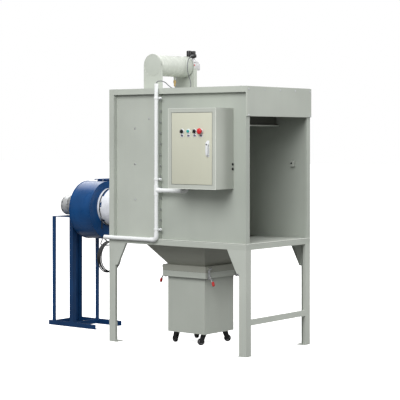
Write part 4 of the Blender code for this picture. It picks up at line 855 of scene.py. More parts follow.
handleLow, handleHigh = local("door_handle")
handleMiddle = (handleLow + handleHigh) / 2
handleSpec = {"width": 0.021, "height": 0.108, "thick": 0.009}
bossZ = 1.5665
leverZ = 1.5365
leverShare = np.linspace(-1, 1, 17)
leverHalf = handleSpec["height"] / 2
leverPath = np.array([at(boxFront - 0.0155 - 0.0035 * (1 - s * s) * 0.6, handleMiddle[1],
    leverZ + s * leverHalf) for s in leverShare])
leverSizes = np.sqrt(np.clip(1 - np.abs(leverShare) ** 9, 0.02, 1))
piece("box_handle", [
    carried(roundOutline(handleSpec["width"], handleSpec["thick"], 0.0042, 5), leverPath, (0, 1, 0),
        leverSizes),
    turned([(0, 0.0118), (0.0085, 0.0118), (0.0115, 0.009), (0.0115, 0.0003), (0, 0.0003)],
        at(boxFront, handleMiddle[1], bossZ), (-1, 0, 0), 28),
    turned([(0, 0.021), (0.0072, 0.021), (0.0078, 0.020), (0.0078, -0.011), (0, -0.011)],
        at(boxFront, handleMiddle[1], bossZ), (1, 0, 0), 20),
    roundBlock(at(boxFront + 0.013, handleMiddle[1] - 0.008, bossZ - 0.009),
        at(boxFront + 0.0165, handleMiddle[1] + 0.008, bossZ + 0.030), 0.0012),
], looks["handlePaint"], "handle_metal", "handle", replaces=["door_handle"], sharp=50)
piece("handle_keyhole", [
    turned([(0, 0.0012), (0.0052, 0.0012), (0.0058, 0.0004), (0.0058, -0.001), (0, -0.001)],
        at(boxFront - 0.0212, handleMiddle[1], bossZ), (-1, 0, 0), 20),
    roundBlock(at(boxFront - 0.0231, handleMiddle[1] - 0.0006, bossZ - 0.0035),
        at(boxFront - 0.0218, handleMiddle[1] + 0.0006, bossZ + 0.0035), 0.0004, 1),
], *blackFitting, "handle")
piece("handle_plate", [
    roundBlock(at(boxFront - 0.0016, handleMiddle[1] - 0.0118, leverZ - 0.060),
        at(boxFront - 0.0002, handleMiddle[1] + 0.0118, leverZ + 0.060), 0.0006),
], looks["handlePaint"], "handle_metal", "door")

bezelProfile = [(0.0112, 0.0002), (0.0186, 0.0002), (0.0190, 0.0014), (0.0182, 0.0034),
    (0.0148, 0.0044), (0.0112, 0.0044)]
nutProfile = [(0.0112, 0.0), (0.0155, 0.0), (0.0155, 0.005), (0.0112, 0.005)]
piece("button_bezels", [
    turned(bezelProfile, at(boxFront, y, buttonHeight), (-1, 0, 0), 32, True) for y in buttonYs
], looks["handlePaint"], "handle_metal", "door")
piece("button_nuts", [
    turned(nutProfile, at(doorHigh[0] + 0.0002, y, buttonHeight), (1, 0, 0), 6, True) for y in buttonYs
], *blackFitting, "door")


def shank(y, start, length):
    # a turned rod from behind the door's face inwards
    return turned([(0, 0), (0.0104, 0), (0.0106, 0.0008), (0.0106, length - 0.001), (0.0098, length),
        (0, length)],
                  at(boxFront + start, y, buttonHeight), (1, 0, 0), 24)


def selectorShapes(y):
    # collar with radius swelling by a cosine for its ridges, then disc, lever and shank
    knurls = 36
    angle = np.arange(knurls * 4) * 2 * pi / (knurls * 4)
    base = np.stack((np.cos(angle), np.sin(angle)), 1)
    ridges = base * (0.0138 + 0.0005 * np.cos(knurls * angle))[:, None]
    start = at(boxFront - 0.0048, y, buttonHeight)
    collar = carried(ridges, [start, start - (0.0068, 0, 0)], (0, 1, 0))
    lever = roundBlock(at(boxFront - 0.0262, y - 0.0042, buttonHeight - 0.0128),
        at(boxFront - 0.0100, y + 0.0042, buttonHeight + 0.0128), 0.0022, 3)
    disc = turned([(0, 0.0132), (0.0105, 0.0132), (0.0128, 0.0112), (0.0130, 0.0098), (0, 0.0098)],
        at(boxFront, y, buttonHeight), (-1, 0, 0), 28)
    return [collar, disc, lever, shank(y, -0.002, 0.0388)]


for name, node, body, index in (
    ("mode_knob", "selector_mode", "mode_selector", 0),
        ("cleaning_knob", "selector_cleaning", "cleaning_selector", 2),
):
    y = buttonYs[index]
    piece(name, selectorShapes(y), *blackFitting, body, replaces=[node])
    piece(name + "_pointer", [
        roundBlock(at(boxFront - 0.0266, y - 0.0008, buttonHeight + 0.001),
            at(boxFront - 0.0255, y + 0.0008, buttonHeight + 0.0115), 0.0004, 2),
    ], looks["whitePlastic"], "conduit_white", body)

y = buttonYs[1]
piece("green_button", [
    turned([(0, 0.0140), (0.0060, 0.0139), (0.0098, 0.0134), (0.0108, 0.0122), (0.0110, 0.0060),
        (0, 0.0060)],
           at(boxFront, y, buttonHeight), (-1, 0, 0), 32),
    shank(y, -0.0072, 0.040),
], looks["greenPlastic"], "button_green", "start", replaces=["start_button"])

y = buttonYs[3]
mushroom = [
    (0, 0.0350), (0.0070, 0.0347), (0.0140, 0.0335), (0.0190, 0.0308), (0.0217, 0.0272),
        (0.0225, 0.0238), (0.0220, 0.0212),
    (0.0170, 0.0198), (0.0120, 0.0195), (0.0112, 0.0180), (0.0110, 0.0120), (0, 0.0120),
]
piece("stop_mushroom", [turned(mushroom, at(boxFront, y, buttonHeight), (-1, 0, 0), 40)],
    looks["redPlastic"], "button_red", "stop", replaces=["emergency_stop"])
piece("stop_shank", [shank(y, -0.019, 0.056)], *blackFitting, "stop")

legend = {"low": 1.6220, "high": 1.6455, "half": 0.0150, "inlayHalf": 0.0108}
piece("legend_plates", [
    roundBlock(at(boxFront - 0.0014, y - legend["half"], legend["low"]),
        at(boxFront - 0.0002, y + legend["half"], legend["high"]), 0.0005, 2) for y in buttonYs
], looks["handlePaint"], "gland_grey", "door")
piece("legend_inlays", [
    roundBlock(at(boxFront - 0.0019, y - legend["inlayHalf"], legend["low"] + 0.0040),
        at(boxFront - 0.0015, y + legend["inlayHalf"], legend["high"] - 0.0060), 0.0002, 1)
        for y in buttonYs
], looks["paleMarker"], "gland_grey", "door")

# a thin pale rim round the box front: painted highlight along its edges
piece("box_edge", [
    frameStrip(boxLow[1] - 0.0006, boxLow[2] - 0.0006, boxHigh[1] + 0.0006, boxHigh[2] + 0.0006,
        boxFront - 0.0007, 0.0032, 0.0032),
], *paintedHighlightEdge)
boxSideBolts = [at(0.024, boxLow[1] - skin, z) for z in (1.420, 1.385)]
piece("box_side_bolts", boltsAt(boxSideBolts, (0, -1, 0)), *blackFitting)
print("control box fitted")

# Air tank, valves and pipes on the roof

tank = {"radius": 0.084, "y": 1.081, "z": 2.194, "length": 0.413}
tankX = bodyMiddle
halfTank = tank["length"] / 2
dish = np.linspace(0, pi / 2, 9)
knuckle = 0.046
tankProfile = [(tank["radius"] * s, halfTank - knuckle + knuckle * c)
    for s, c in zip(np.sin(dish), np.cos(dish))]
tankProfile += [(r, -h) for r, h in tankProfile[::-1]]
seamBead = [(0.0838, -0.003), (0.0846, -0.002), (0.0848, 0), (0.0846, 0.002), (0.0838, 0.003)]
tankMiddle = at(tankX, tank["y"], tank["z"])
piece("pressure_tank", [
    turned(tankProfile, tankMiddle, (1, 0, 0), 64),
    turned([(0.0160, halfTank - 0.02), (0.0168, halfTank - 0.02), (0.0168, halfTank + 0.0205),
        (0.0160, halfTank + 0.0205)], tankMiddle, (1, 0, 0), 28, True),
], *paleTank, replaces=["air_tank"])
piece("tank_band", [
    turned([(0.0842, 0), (0.0856, 0), (0.0858, 0.0004), (0.0858, 0.0936), (0.0856, 0.094),
        (0.0842, 0.094)],
           tankMiddle + (halfTank - 0.1, 0, 0), (1, 0, 0), 64, True),
], *greyBody)
piece("tank_weld_beads", [
    turned(seamBead + [(0.0830, 0)], tankMiddle + (-halfTank + knuckle, 0, 0), (1, 0, 0), 64, True)
], *paleTank)
nearPlateX = local("tank_support_near")[0][0]
piece("tank_end_plate", [
    turned([(0, 0.0016), (0.0805, 0.0016), (0.0825, 0.0010), (0.0832, 0.0002), (0, 0.0002)],
        at(nearPlateX, tank["y"], tank["z"]), (-1, 0, 0), 56),
], *greyBody)
piece("tank_end_weld", [
    turned([(0.0822, 0.0002), (0.0862, 0.0002), (0.0852, 0.0022), (0.0836, 0.0026), (0.0824, 0.0018)],
        at(nearPlateX, tank["y"], tank["z"]), (-1, 0, 0), 56, True),
], *paleTank)

valve = {"length": 0.0555, "low": 2.174}
valveXs = {name: sum(local("pulse_valve_" + name)[i][0] for i in (0, 1)) / 2
    for name in ("upper", "lower")}
coil = {"low": 2.273, "high": 2.333}
for name, x in valveXs.items():
    half = valve["length"] / 2 - 0.0004
    shapes = [
        roundBlock(at(x - half, tank["y"] - 0.0258, valve["low"]),
            at(x + half, tank["y"] + 0.0258, 2.232), 0.006),
        roundBlock(at(x - half, tank["y"] - 0.0258, 2.2335), at(x + half, tank["y"] + 0.0258, 2.247),
            0.004),
        turned([(0, 0.024), (0.012, 0.024), (0.0135, 0.022), (0.018, 0.014), (0.0215, 0.004),
            (0.0215, 0), (0, 0)], at(x, tank["y"], 2.2465), (0, 0, 1), 32),
        turned([(0, 0.014), (0.0065, 0.014), (0.0065, 0), (0, 0)], at(x, tank["y"], 2.262), (0, 0, 1),
            20),
    ]
    piece("valve_body_" + name, shapes, looks["paleAlloy"], "valve_body",
        replaces=["pulse_valve_" + name], sharp=50)
    corners = [at(x + dx * 0.0205, tank["y"] + dy * 0.0195, 2.2472) for dx in (-1, 1) for dy in (-1, 1)]
    small = [(points * 0.42, faces) for points, faces in bolt]
    piece("valve_bolts_" + name, [copies(shape, corners) for shape in small], *zincPlated)
    coilTurns = [(0, 0.058), (0.0165, 0.058), (0.0195, 0.0555), (0.0203, 0.052), (0.0203, 0.006),
        (0.0195, 0.002), (0.0165, 0), (0, 0)]
    piece("valve_coil_" + name, [
        turned(coilTurns, at(x, tank["y"], coil["low"]), (0, 0, 1), 32),
        roundBlock(at(x - 0.0135, tank["y"] - 0.0255, coil["low"] + 0.004),
            at(x + 0.0135, tank["y"] - 0.006, coil["low"] + 0.030), 0.003),
    ], looks["blackPlastic"], "valve_body")
    piece("coil_nut_" + name, [
        turned([(0, 0.0058), (0.0062, 0.0058), (0.0075, 0.0048), (0.0075, 0.0), (0, 0)],
            at(x, tank["y"], coil["high"] - 0.0061 + 0.0002), (0, 0, 1), 6),
    ], *zincPlated)

regLow, regHigh = local("air_regulator")
regMid = (regLow + regHigh) / 2
stemLength = 0.010
piece("regulator_body", [
    roundBlock(at(*regLow), at(regHigh[0] - 0.008, regHigh[1] - stemLength, regHigh[2] - 0.014), 0.006),
    turned([(0, 0.0135), (0.013, 0.0135), (0.0165, 0.010), (0.018, 0), (0, 0)],
        at(regMid[0] - 0.004, regMid[1] - stemLength / 2, regHigh[2] - 0.0142), (0, 0, 1), 32),
    turned([(0, stemLength), (0.0095, stemLength), (0.011, stemLength - 0.0014), (0.011, -0.002),
        (0, -0.002)], at(regMid[0], regHigh[1] - stemLength, tank["z"]), (0, 1, 0), 28),
    turned([(0, 0.0082), (0.009, 0.0082), (0.0105, 0.006), (0.0105, 0), (0, 0)],
        at(regHigh[0] - 0.0083, regMid[1] - stemLength / 2, tank["z"] + 0.004), (1, 0, 0), 6),
], looks["paleAlloy"], "valve_body", replaces=["air_regulator"], sharp=50)
piece("valve_red_plug", [
    turned([(0, 0.0045), (0.0055, 0.0045), (0.0068, 0.0030), (0.0068, 0.0001), (0, 0.0001)],
        at(valveXs["lower"] - 0.018, tank["y"] - 0.0258, 2.214), (0, -1, 0), 20),
], looks["redPlastic"], "regulator_knob")
knobLow, knobHigh = local("regulator_knob")
knobMid = (knobLow + knobHigh) / 2
knobAngle = np.arange(96) * 2 * pi / 96
knobRing = np.stack((np.cos(knobAngle), np.sin(knobAngle)),
    1) * (0.0133 + 0.0006 * np.cos(16 * knobAngle))[:, None]
knobPath = np.array([at(knobMid[0], knobLow[1] + (knobHigh[1] - knobLow[1]) * s, knobMid[2])
    for s in (0, 0.06, 0.15, 0.80, 0.93, 0.98, 1.0)])
piece("pressure_knob_cap",
    [carried(knobRing, knobPath, (1, 0, 0), (0.92, 0.98, 1, 1, 0.96, 0.88, 0.80))],
      looks["redPlastic"], "regulator_knob", "pressure_knob", replaces=["regulator_knob"], sharp=50)

blowPipe = {"bore": 0.0135, "y": 1.215, "bend": 0.030, "end": 1.135}
blowY = blowPipe["y"]
for name, x, z in (("upper", valveXs["upper"], 1.595), ("lower", valveXs["lower"], 1.225)):
    corners = [
        at(x, tank["y"] + 0.0262, tank["z"]), at(x, blowY, tank["z"]), at(x, blowY, z),
            at(bodyMiddle, blowY, z), at(bodyMiddle, blowPipe["end"], z),
    ]
    path = bentPath(corners, blowPipe["bend"], 10)
    # the pipe turns out of one plane into another, so each leg keeps its own side direction
    split = int(np.argmax(path[:, 2] < z + 0.25))
    collarAt = [corners[0] + (0, 0.001, 0), corners[0] + (0, 0.020, 0)]
    piece("blow_pipe_run_" + name, [
        carried(circleOutline(blowPipe["bore"], 24), path[:split + 1], (1, 0, 0)),
        carried(circleOutline(blowPipe["bore"], 24), path[split:], (0, 1, 0.02)),
    ], *steelPipe, replaces=["blow_pipe_" + name])
    piece("blow_pipe_union_" + name, [
        carried(circleOutline(0.0195, 6), collarAt, (1, 0, 0)),
        carried(circleOutline(0.0180, 24),
            [at(x, blowY, roofTop + 0.004), at(x, blowY, roofTop + 0.016)], (1, 0, 0)),
    ], *steelPipe)
    piece("roof_grommet_" + name, [
        turned([(0.0138, 0.0002), (0.0245, 0.0002), (0.0235, 0.0034), (0.0180, 0.0052),
            (0.0138, 0.0052)], at(x, blowY, roofTop), (0, 0, 1), 32, True),
    ], looks["rubber"], "caster_wheel")

drain = at(0.500, tank["y"] + 0.006, tank["z"] - tank["radius"])
piece("drain_nipple", [
    turned([(0, 0.028), (0.0085, 0.028), (0.0085, 0.004), (0.0125, 0.002), (0.0125, -0.004),
        (0, -0.004)], drain, (0, 0, -1), 24),
], *paleTank)
piece("drain_cock", [
    turned([(0, 0.052), (0.0105, 0.052), (0.0115, 0.050), (0.0115, 0.029), (0.0105, 0.027),
        (0, 0.027)], drain, (0, 0, -1), 6),
    turned([(0, 0.078), (0.0058, 0.078), (0.0070, 0.075), (0.0070, 0.050), (0, 0.050)], drain,
        (0, 0, -1), 20),
    roundBlock(drain + (-0.020, -0.016, -0.046), drain + (0.004, -0.0118, -0.039), 0.0018),
], looks["brass"], "valve_body", sharp=50)

piece("coil_lead_boot", [
    turned([(0.0036, 0), (0.0072, 0), (0.0072, 0.003), (0.0052, 0.020), (0.0048, 0.022),
        (0.0036, 0.022)],
           at(0.667, 1.0570, 2.285), (0, -1, 0), 20, True),
], looks["blackPlastic"], "valve_body")
print("roof unit fitted")

# Hopper, bin, latches and casters

binLow, binHigh = local("bin_shell")
binMid = (binLow + binHigh) / 2


def squareRings(rows):
    # square rings round the bin's axis, each with its half width and height
    signs = ((-1, -1), (1, -1), (1, 1), (-1, 1))
    return sheetOf(np.array([[at(binMid[0] + sx * r, binMid[1] + sy * r, z) for sx, sy in signs]
        for r, z in rows]), True, True)


binTop = binHigh[2]
piece("bin_seal",
    [squareRings([(0.2142, binTop + 0.0001), (0.2142, binTop + 0.0011), (0.200, binTop + 0.0011),
    (0.200, binTop + 0.0001)])],
      looks["rubber"], "caster_wheel")

hem = binTop - 0.0462
piece("bin_rim_hem", [
    squareRings([(0.2151, hem), (0.2164, hem + 0.0012), (0.2164, hem + 0.0036), (0.2151, hem + 0.0048),
        (0.2149, hem + 0.0024)]),
], *greyBody, "bin")

latch = {"width": 0.028, "pinZ": 0.602, "standOff": 0.014}
collarHalf = 0.215
hopperY = binMid[1]
for name, side in (("front_near", -1), ("front_far", -1), ("rear_near", 1), ("rear_far", 1)):
    node = "latch_" + name
    low, high = local(node)
    x = (low[0] + high[0]) / 2
    face = hopperY + side * collarHalf
    pinY, pinZ = face + side * latch["standOff"], latch["pinZ"]
    wide = roundOutline(latch["width"] - 0.002, 0.0034, 0.0012, 2)
    narrow = roundOutline(latch["width"] - 0.009, 0.0032, 0.0012, 2)
    strapPath = bentPath([
        at(x, face + side * 0.0058, pinZ + 0.002), at(x, face + side * 0.0058, 0.5190),
            at(x, face - side * 0.0115, 0.5190),
    ], 0.0022, 4)
    armPath = bentPath([
        at(x, face + side * 0.0078, pinZ - 0.006), at(x, face + side * 0.0085, pinZ - 0.050),
        at(x, face + side * 0.041, pinZ - 0.098), at(x, face + side * 0.0495, pinZ - 0.128),
    ], 0.022, 6)
    piece("clamp_" + name, [
        carried(wide, strapPath, (1, 0, 0)),
        carried(narrow, armPath, (1, 0, 0)),
        turned([(0, 0.014), (0.0074, 0.014), (0.0080, 0.013), (0.0080, -0.013), (0.0074, -0.014),
            (0, -0.014)], at(x, pinY, pinZ), (1, 0, 0), 20),
        turned([(0, 0.018), (0.0038, 0.018), (0.0038, -0.018), (0, -0.018)], at(x, pinY, pinZ),
            (1, 0, 0), 16),
    ], *zincPlated, node, replaces=[node], sharp=50)
    gripPath = np.array([at(x, face + side * (0.0422 + 0.0085 * s), pinZ - 0.096 - 0.036 * s)
        for s in np.linspace(0, 1, 9)])
    gripSizes = (0.45, 0.88, 1, 1, 1, 1, 1, 0.9, 0.5)
    piece("grip_" + name,
        [carried(roundOutline(0.027, 0.0125, 0.0055, 4), gripPath, (1, 0, 0), gripSizes)],
          looks["redGrip"], "button_red", node)

casterAngles = {"near_rear": 75, "near_front": 128, "far_front": -40, "far_rear": 70}
casterSpacing = 0.135
caster = {"wheel": 0.0275, "trail": 0.022, "top": 0.0864, "cheek": 0.0137}
wheelProfile = [
    (0.0048, 0.0102), (0.0090, 0.0102), (0.0098, 0.0080), (0.0165, 0.0076), (0.0185, 0.0098),
        (0.0235, 0.0104), (0.0262, 0.0088),
    (0.0272, 0.0062), (0.0275, 0.0030), (0.0275, -0.0030), (0.0272, -0.0062), (0.0262, -0.0088),
        (0.0235, -0.0104),
    (0.0185, -0.0098), (0.0165, -0.0076), (0.0098, -0.0080), (0.0090, -0.0102), (0.0048, -0.0102),
]
hubProfile = [(0.0047, 0.0106), (0.0088, 0.0106), (0.0095, 0.0086), (0.0162, 0.0082), (0.0162, 0.0078),
    (0.0100, 0.0074), (0.0047, 0.0074)]
placeSigns = {"near_rear": (-1, 1), "near_front": (-1, -1), "far_front": (1, -1), "far_rear": (1, 1)}
for place, angle in casterAngles.items():
    sx, sy = placeSigns[place]
    x, y = binMid[0] + sx * casterSpacing, binMid[1] + sy * casterSpacing
    along = np.array((cos(radians(angle)), sin(radians(angle)), 0))
    across = np.array((-along[1], along[0], 0))
    king = at(x, y, 0)
    axle = king + along * caster["trail"] + (0, 0, caster["wheel"])
    share = np.linspace(0, 1, 12)
    sides = []
    for sign in (-1, 1):
        # each cheek tapers from the crown down to the axle
        front = -0.019 + share**1.3 * (caster["trail"] + 0.019 - 0.013)
        back = 0.020 + share**0.6 * (caster["trail"] + 0.013 - 0.020)
        height = (caster["top"] - 0.003) + share * (0.0185 - caster["top"] + 0.003)
        rows = []
        for thick in (0.0, 0.0024):
            offset = sign * (caster["cheek"] - 0.0012 + thick)
            left = king + np.outer(front, along) + across * offset + np.outer(height, (0, 0, 1))
            right = king + np.outer(back, along) + across * offset + np.outer(height, (0, 0, 1))
            rows.append((left, right))
        (inLeft, inRight), (outLeft, outRight) = rows
        ring = np.stack((inLeft, inRight, outRight, outLeft), 1)
        first = np.broadcast_to(ring[:1].mean(1, keepdims=True), ring[:1].shape)
        last = np.broadcast_to(ring[-1:].mean(1, keepdims=True), ring[-1:].shape)
        sides.append(sheetOf(np.concatenate((first, ring, last)), False, True))
    crown = [(0, 0), (0.0200, 0), (0.0212, -0.0015), (0.0205, -0.0060), (0.0165, -0.0105), (0, -0.0105)]
    piece("fork_" + place, sides + [
        turned(crown, king + (0, 0, caster["top"] - 0.0002), (0, 0, 1), 32),
        turned([(0, 0.0166), (0.0052, 0.0166), (0.0058, 0.0156), (0.0058, -0.0156), (0.0052, -0.0166),
            (0, -0.0166)], axle, across, 6),
    ], looks["blackPlastic"], "caster_black", "swivel_" + place, replaces=["caster_fork_" + place],
        sharp=45)
    piece("tyre_" + place, [turned(wheelProfile, axle, across, 40, True)], looks["rubber"],
        "caster_wheel", "wheel_" + place,
          replaces=["caster_wheel_" + place])
    piece("wheel_hub_" + place, [
        turned(hubProfile, axle, across, 28, True), turned(hubProfile, axle, -across, 28, True),
    ], looks["hubGrey"], "caster_black", "wheel_" + place)
    plateBolts = [king + (dx * 0.0225, dy * 0.0225, 0.0897) for dx in (-1, 1) for dy in (-1, 1)]
    piece("caster_bolts_" + place,
        [copies(facing((points * 0.5, faces), (0, 0, -1)), plateBolts) for points, faces in bolt],
          *zincPlated, "bin")
print("bin and casters fitted")

# Cartridge filters inside

for name in ("upper", "lower"):
    low, high = local("filter_" + name)
    z = (low[2] + high[2]) / 2
    front, back = low[1], high[1]
    pleats = 84
    angle = np.arange(pleats * 4) * 2 * pi / (pleats * 4)
    fold = 0.0065 * np.array((1, 0.1, -1, 0.1))[np.arange(pleats * 4) % 4]
    media = np.stack((np.cos(angle), np.sin(angle)), 1) * (0.1455 + fold)[:, None]
    path = np.array([at(bodyMiddle, y, z) for y in np.linspace(front + 0.014, back - 0.012, 4)])
    piece("filter_media_" + name, [carried(media, path, (1, 0, 0))], looks["filterPaper"],
        "filter_media", replaces=["filter_" + name], sharp=20)
    cap = [(0, 0.0), (0.060, 0.0), (0.064, 0.004), (0.086, 0.004), (0.090, 0.0), (0.150, 0.0),
        (0.158, 0.0015), (0.1618, 0.005), (0.1622, 0.020), (0.1600, 0.0225), (0, 0.0225)]
    ring = [(0.108, 0.0), (0.1622, 0.0), (0.1622, -0.016), (0.1600, -0.018), (0.108, -0.018)]
    piece("filter_caps_" + name, [
        turned(cap, at(bodyMiddle, front, z), (0, 1, 0), 64),
        turned(ring, at(bodyMiddle, back, z), (0, 1, 0), 64, True),
    ], *steelPipe)
    bands = [turned([(0.1526, -0.006), (0.1536, -0.006), (0.1536, 0.006), (0.1526, 0.006)],
        at(bodyMiddle, y, z), (0, 1, 0), 64, True) for y in (front + 0.19, front + 0.36)]
    piece("filter_bands_" + name, bands, looks["filterPaper"], "filter_media")
    piece("filter_nut_" + name, [
        turned([(0, 0.012), (0.011, 0.012), (0.013, 0.010), (0.013, 0.0), (0, 0)],
            at(bodyMiddle, front + 0.0115, z), (0, -1, 0), 6),
    ], *zincPlated)
print("filters fitted")

# Socket box on the far inner wall

wallX = bodyWidth - 0.036 - 0.002
wallBox = {"y": 0.130, "z": 1.412, "deep": 0.024, "halfWide": 0.018, "halfHigh": 0.023}
piece("wall_socket", [
    roundBlock(at(wallX - wallBox["deep"], wallBox["y"] - wallBox["halfWide"],
        wallBox["z"] - wallBox["halfHigh"]),
        at(wallX - 0.0002, wallBox["y"] + wallBox["halfWide"], wallBox["z"] + wallBox["halfHigh"]),
        0.004),
], looks["grey"], "gland_grey")
piece("wall_socket_port", [
    turned([(0, 0.0035), (0.0070, 0.0035), (0.0076, 0.0025), (0.0076, 0), (0, 0)],
        at(wallX - 0.0239, wallBox["y"] + 0.004, wallBox["z"] + 0.004), (-1, 0, 0), 32),
], *blackFitting)

# Fan housing

fan = {"x": 0.585, "z": 1.030, "wall": 0.003, "start": 0.213, "growth": 0.096, "left": 0.110,
    "top": 1.246, "inlet": 0.150, "spigot": 0.1567}
fanLow, fanHigh = local("fan_housing")
fanFront = fanLow[1] + 0.045
fanBack = fanFront + 0.240
spiralSteps = 120


def scroll(inset):
    # a spiral whose radius grows evenly over three quarters of a turn,
    # closed by the outlet's two walls and its top
    share = np.linspace(0, 1, spiralSteps + 1)
    reach = fan["start"] + fan["growth"] * share - inset
    angle = 1.5 * pi * share
    spiral = np.stack((fan["x"] - reach * np.sin(angle), fan["z"] + reach * np.cos(angle)), 1)
    right = fan["x"] + fan["start"] + fan["growth"] - inset
    left = fan["x"] + fan["left"] + inset
    rise = np.linspace(fan["z"], fan["top"], 7)[1:]
    top = np.stack((np.full(6, right), rise), 1)
    inner = fan["start"] - inset
    cut = np.arcsin((fan["left"] + inset) / inner)
    lip = np.array(((left, fan["top"]), (left, (fan["top"] + fan["z"] + inner * cos(cut)) / 2),
        (left, fan["z"] + inner * cos(cut))))
    back = np.linspace(cut, 0, 9)[1:-1]
    closing = np.stack((fan["x"] + inner * np.sin(back), fan["z"] + inner * np.cos(back)), 1)
    return np.concatenate((spiral, top, lip, closing))


def fanRing(plan, y):
    # a flat outline of x and z set at one distance back
    return np.stack((plan[:, 0] + baseLow.x, np.full(len(plan), y + baseLow.y), plan[:, 1]), 1)


outer, inner = scroll(0), scroll(fan["wall"])
axisPlan = np.array((fan["x"], fan["z"]))
spokes = unit(outer - axisPlan)
w = fan["wall"]
rings = [
    fanRing(axisPlan + spokes * fan["inlet"], fanFront - 0.045),
        fanRing(axisPlan + spokes * fan["spigot"], fanFront - 0.045),
    fanRing(axisPlan + spokes * fan["spigot"], fanFront), fanRing(outer, fanFront),
        fanRing(outer, fanBack),
    fanRing(axisPlan + spokes * 0.022, fanBack), fanRing(axisPlan + spokes * 0.022, fanBack - w),
        fanRing(inner, fanBack - w),
    fanRing(inner, fanFront + w), fanRing(axisPlan + spokes * fan["inlet"], fanFront + w),
]
shellPoints, shellFaces = sheetOf(np.array(rings), True, True)
columns = len(outer)
a, b = spiralSteps + 6, spiralSteps + 7  # the outlet's two top corners
openFaces = [3 * columns + a, 7 * columns + a]
shellFaces = np.delete(shellFaces, openFaces, 0)
o4a, o4b, o5a, o5b = 3 * columns + a, 3 * columns + b, 4 * columns + a, 4 * columns + b
i8a, i8b, i9a, i9b = 7 * columns + a, 7 * columns + b, 8 * columns + a, 8 * columns + b
rim = np.array(((o4a, o4b, i9b, i9a), (o4b, o5b, i8b, i9b), (o5b, o5a, i8a, i8b), (o5a, o4a, i9a, i8a)))
piece("blower_housing", [(shellPoints, np.concatenate((shellFaces, rim)))], looks["fanBlue"],
    "fan_blue", replaces=["fan_housing"], sharp=32)

seam = roundOutline(0.007, 0.0034, 0.0012, 2)
seamPlan = scroll(-0.0014)
piece("blower_seams", [
    carried(seam, fanRing(seamPlan, y)[:spiralSteps + 6], (0, 1, 0))
        for y in (fanFront + 0.0038, fanBack - 0.0038)
], looks["fanBlue"], "fan_blue", sharp=50)

outletX = (fan["x"] + fan["left"] + fan["x"] + fan["start"] + fan["growth"]) / 2
outletY = (fanFront + fanBack) / 2
halfX, halfY = (fan["start"] + fan["growth"] - fan["left"]) / 2, 0.120
flange = {"rim": 0.022}


def rectangleRows(rows):
    # each row is a rectangle's four corners: how far it reaches beyond the outlet, and its height
    signs = ((-1, -1), (1, -1), (1, 1), (-1, 1))
    return sheetOf(np.array([[at(outletX + sx * (halfX + r), outletY + sy * (halfY + r), z)
        for sx, sy in signs] for r, z in rows]), True, True)


topZ = fanHigh[2]
rimOut = flange["rim"]
piece("outlet_flange", [
    rectangleRows([(-w, topZ), (rimOut - 0.001, topZ), (rimOut, topZ - 0.001), (rimOut, topZ - 0.004),
        (rimOut - 0.001, topZ - 0.005), (0.0035, topZ - 0.005),
                   (0.0015, topZ - 0.007), (0.0012, topZ - 0.016), (-w, topZ - 0.016)]),
], looks["fanBlue"], "fan_blue", sharp=50)
flangeBolts = [
    at(outletX + sx * (halfX + 0.0125), outletY + sy * (halfY + 0.0125), topZ - 0.0052)
    for sx, sy in ((-1, -1), (-1, -0.33), (-1, 0.33), (-1, 1), (1, -1), (1, -0.33), (1, 0.33), (1, 1),
        (0, -1), (0, 1))
]
piece("outlet_bolts", boltsAt(flangeBolts, (0, 0, -1)), *zincPlated)
backBolts = [
    at(fan["x"] + 0.175 * cos(t), fanBack + skin, fan["z"] + 0.175 * sin(t))
        for t in np.arange(8) * pi / 4 + pi / 8
]
piece("blower_back_bolts", boltsAt(backBolts, (0, 1, 0)), *zincPlated)
print("blower built")

# Motor

motorLow, motorHigh = local("motor_body")
motorStart, motorEnd = motorLow[1], motorHigh[1]
motor = {"body": 0.070, "fin": 0.010, "fins": 40, "coverLength": 0.078}
finAngle = np.arange(motor["fins"] * 6) * 2 * pi / (motor["fins"] * 6)
finShape = np.clip(0.5 + 1.6 * np.cos(motor["fins"] * finAngle), 0, 1)
finSection = np.stack((np.cos(finAngle), np.sin(finAngle)),
    1) * (motor["body"] - 0.002 + motor["fin"] * 0.85 * finShape)[:, None]
coverStart = motorEnd - motor["coverLength"]
finPath = [at(fan["x"], y, fan["z"]) for y in (motorStart + 0.030, coverStart + 0.004)]
flangeProfile = [(0.0125, 0), (0.096, 0), (0.0985, 0.0012), (0.100, 0.003), (0.100, 0.010),
    (0.098, 0.012), (0.080, 0.013), (0.074, 0.030), (0.074, 0.034), (0.0125, 0.034)]
coverProfile = [
    (0.074, 0.0), (0.0825, 0.0), (0.084, 0.0015), (0.084, 0.058), (0.0832, 0.063), (0.0800, 0.0690),
        (0.0755, 0.0735), (0.0700, 0.0765),
    (0.0640, 0.0778), (0.0600, 0.0778), (0.0600, 0.0735), (0.0560, 0.0735), (0.0560, 0.0778),
        (0.0500, 0.0778), (0.0500, 0.0735),
    (0.0460, 0.0735), (0.0460, 0.0778), (0.0400, 0.0778), (0.0400, 0.0735), (0.0360, 0.0735),
        (0.0360, 0.0778), (0.0290, 0.0778),
    (0.0290, 0.0735), (0.0250, 0.0735), (0.0250, 0.0778), (0, 0.0778),
]
plateTop = local("fan_stand")[1][2]
footShapes = [
    roundBlock(at(fan["x"] + s * 0.070 - 0.018, motorStart + 0.045, plateTop + 0.0006),
        at(fan["x"] + s * 0.070 + 0.018, motorStart + 0.165, plateTop + 0.013), 0.003)
    for s in (-0.74, 0.74)
]
webShapes = [
    roundBlock(at(fan["x"] + s * 0.046 - 0.005, motorStart + 0.052, plateTop + 0.004),
        at(fan["x"] + s * 0.046 + 0.005, motorStart + 0.158, fan["z"] - 0.045), 0.002) for s in (-1, 1)
]
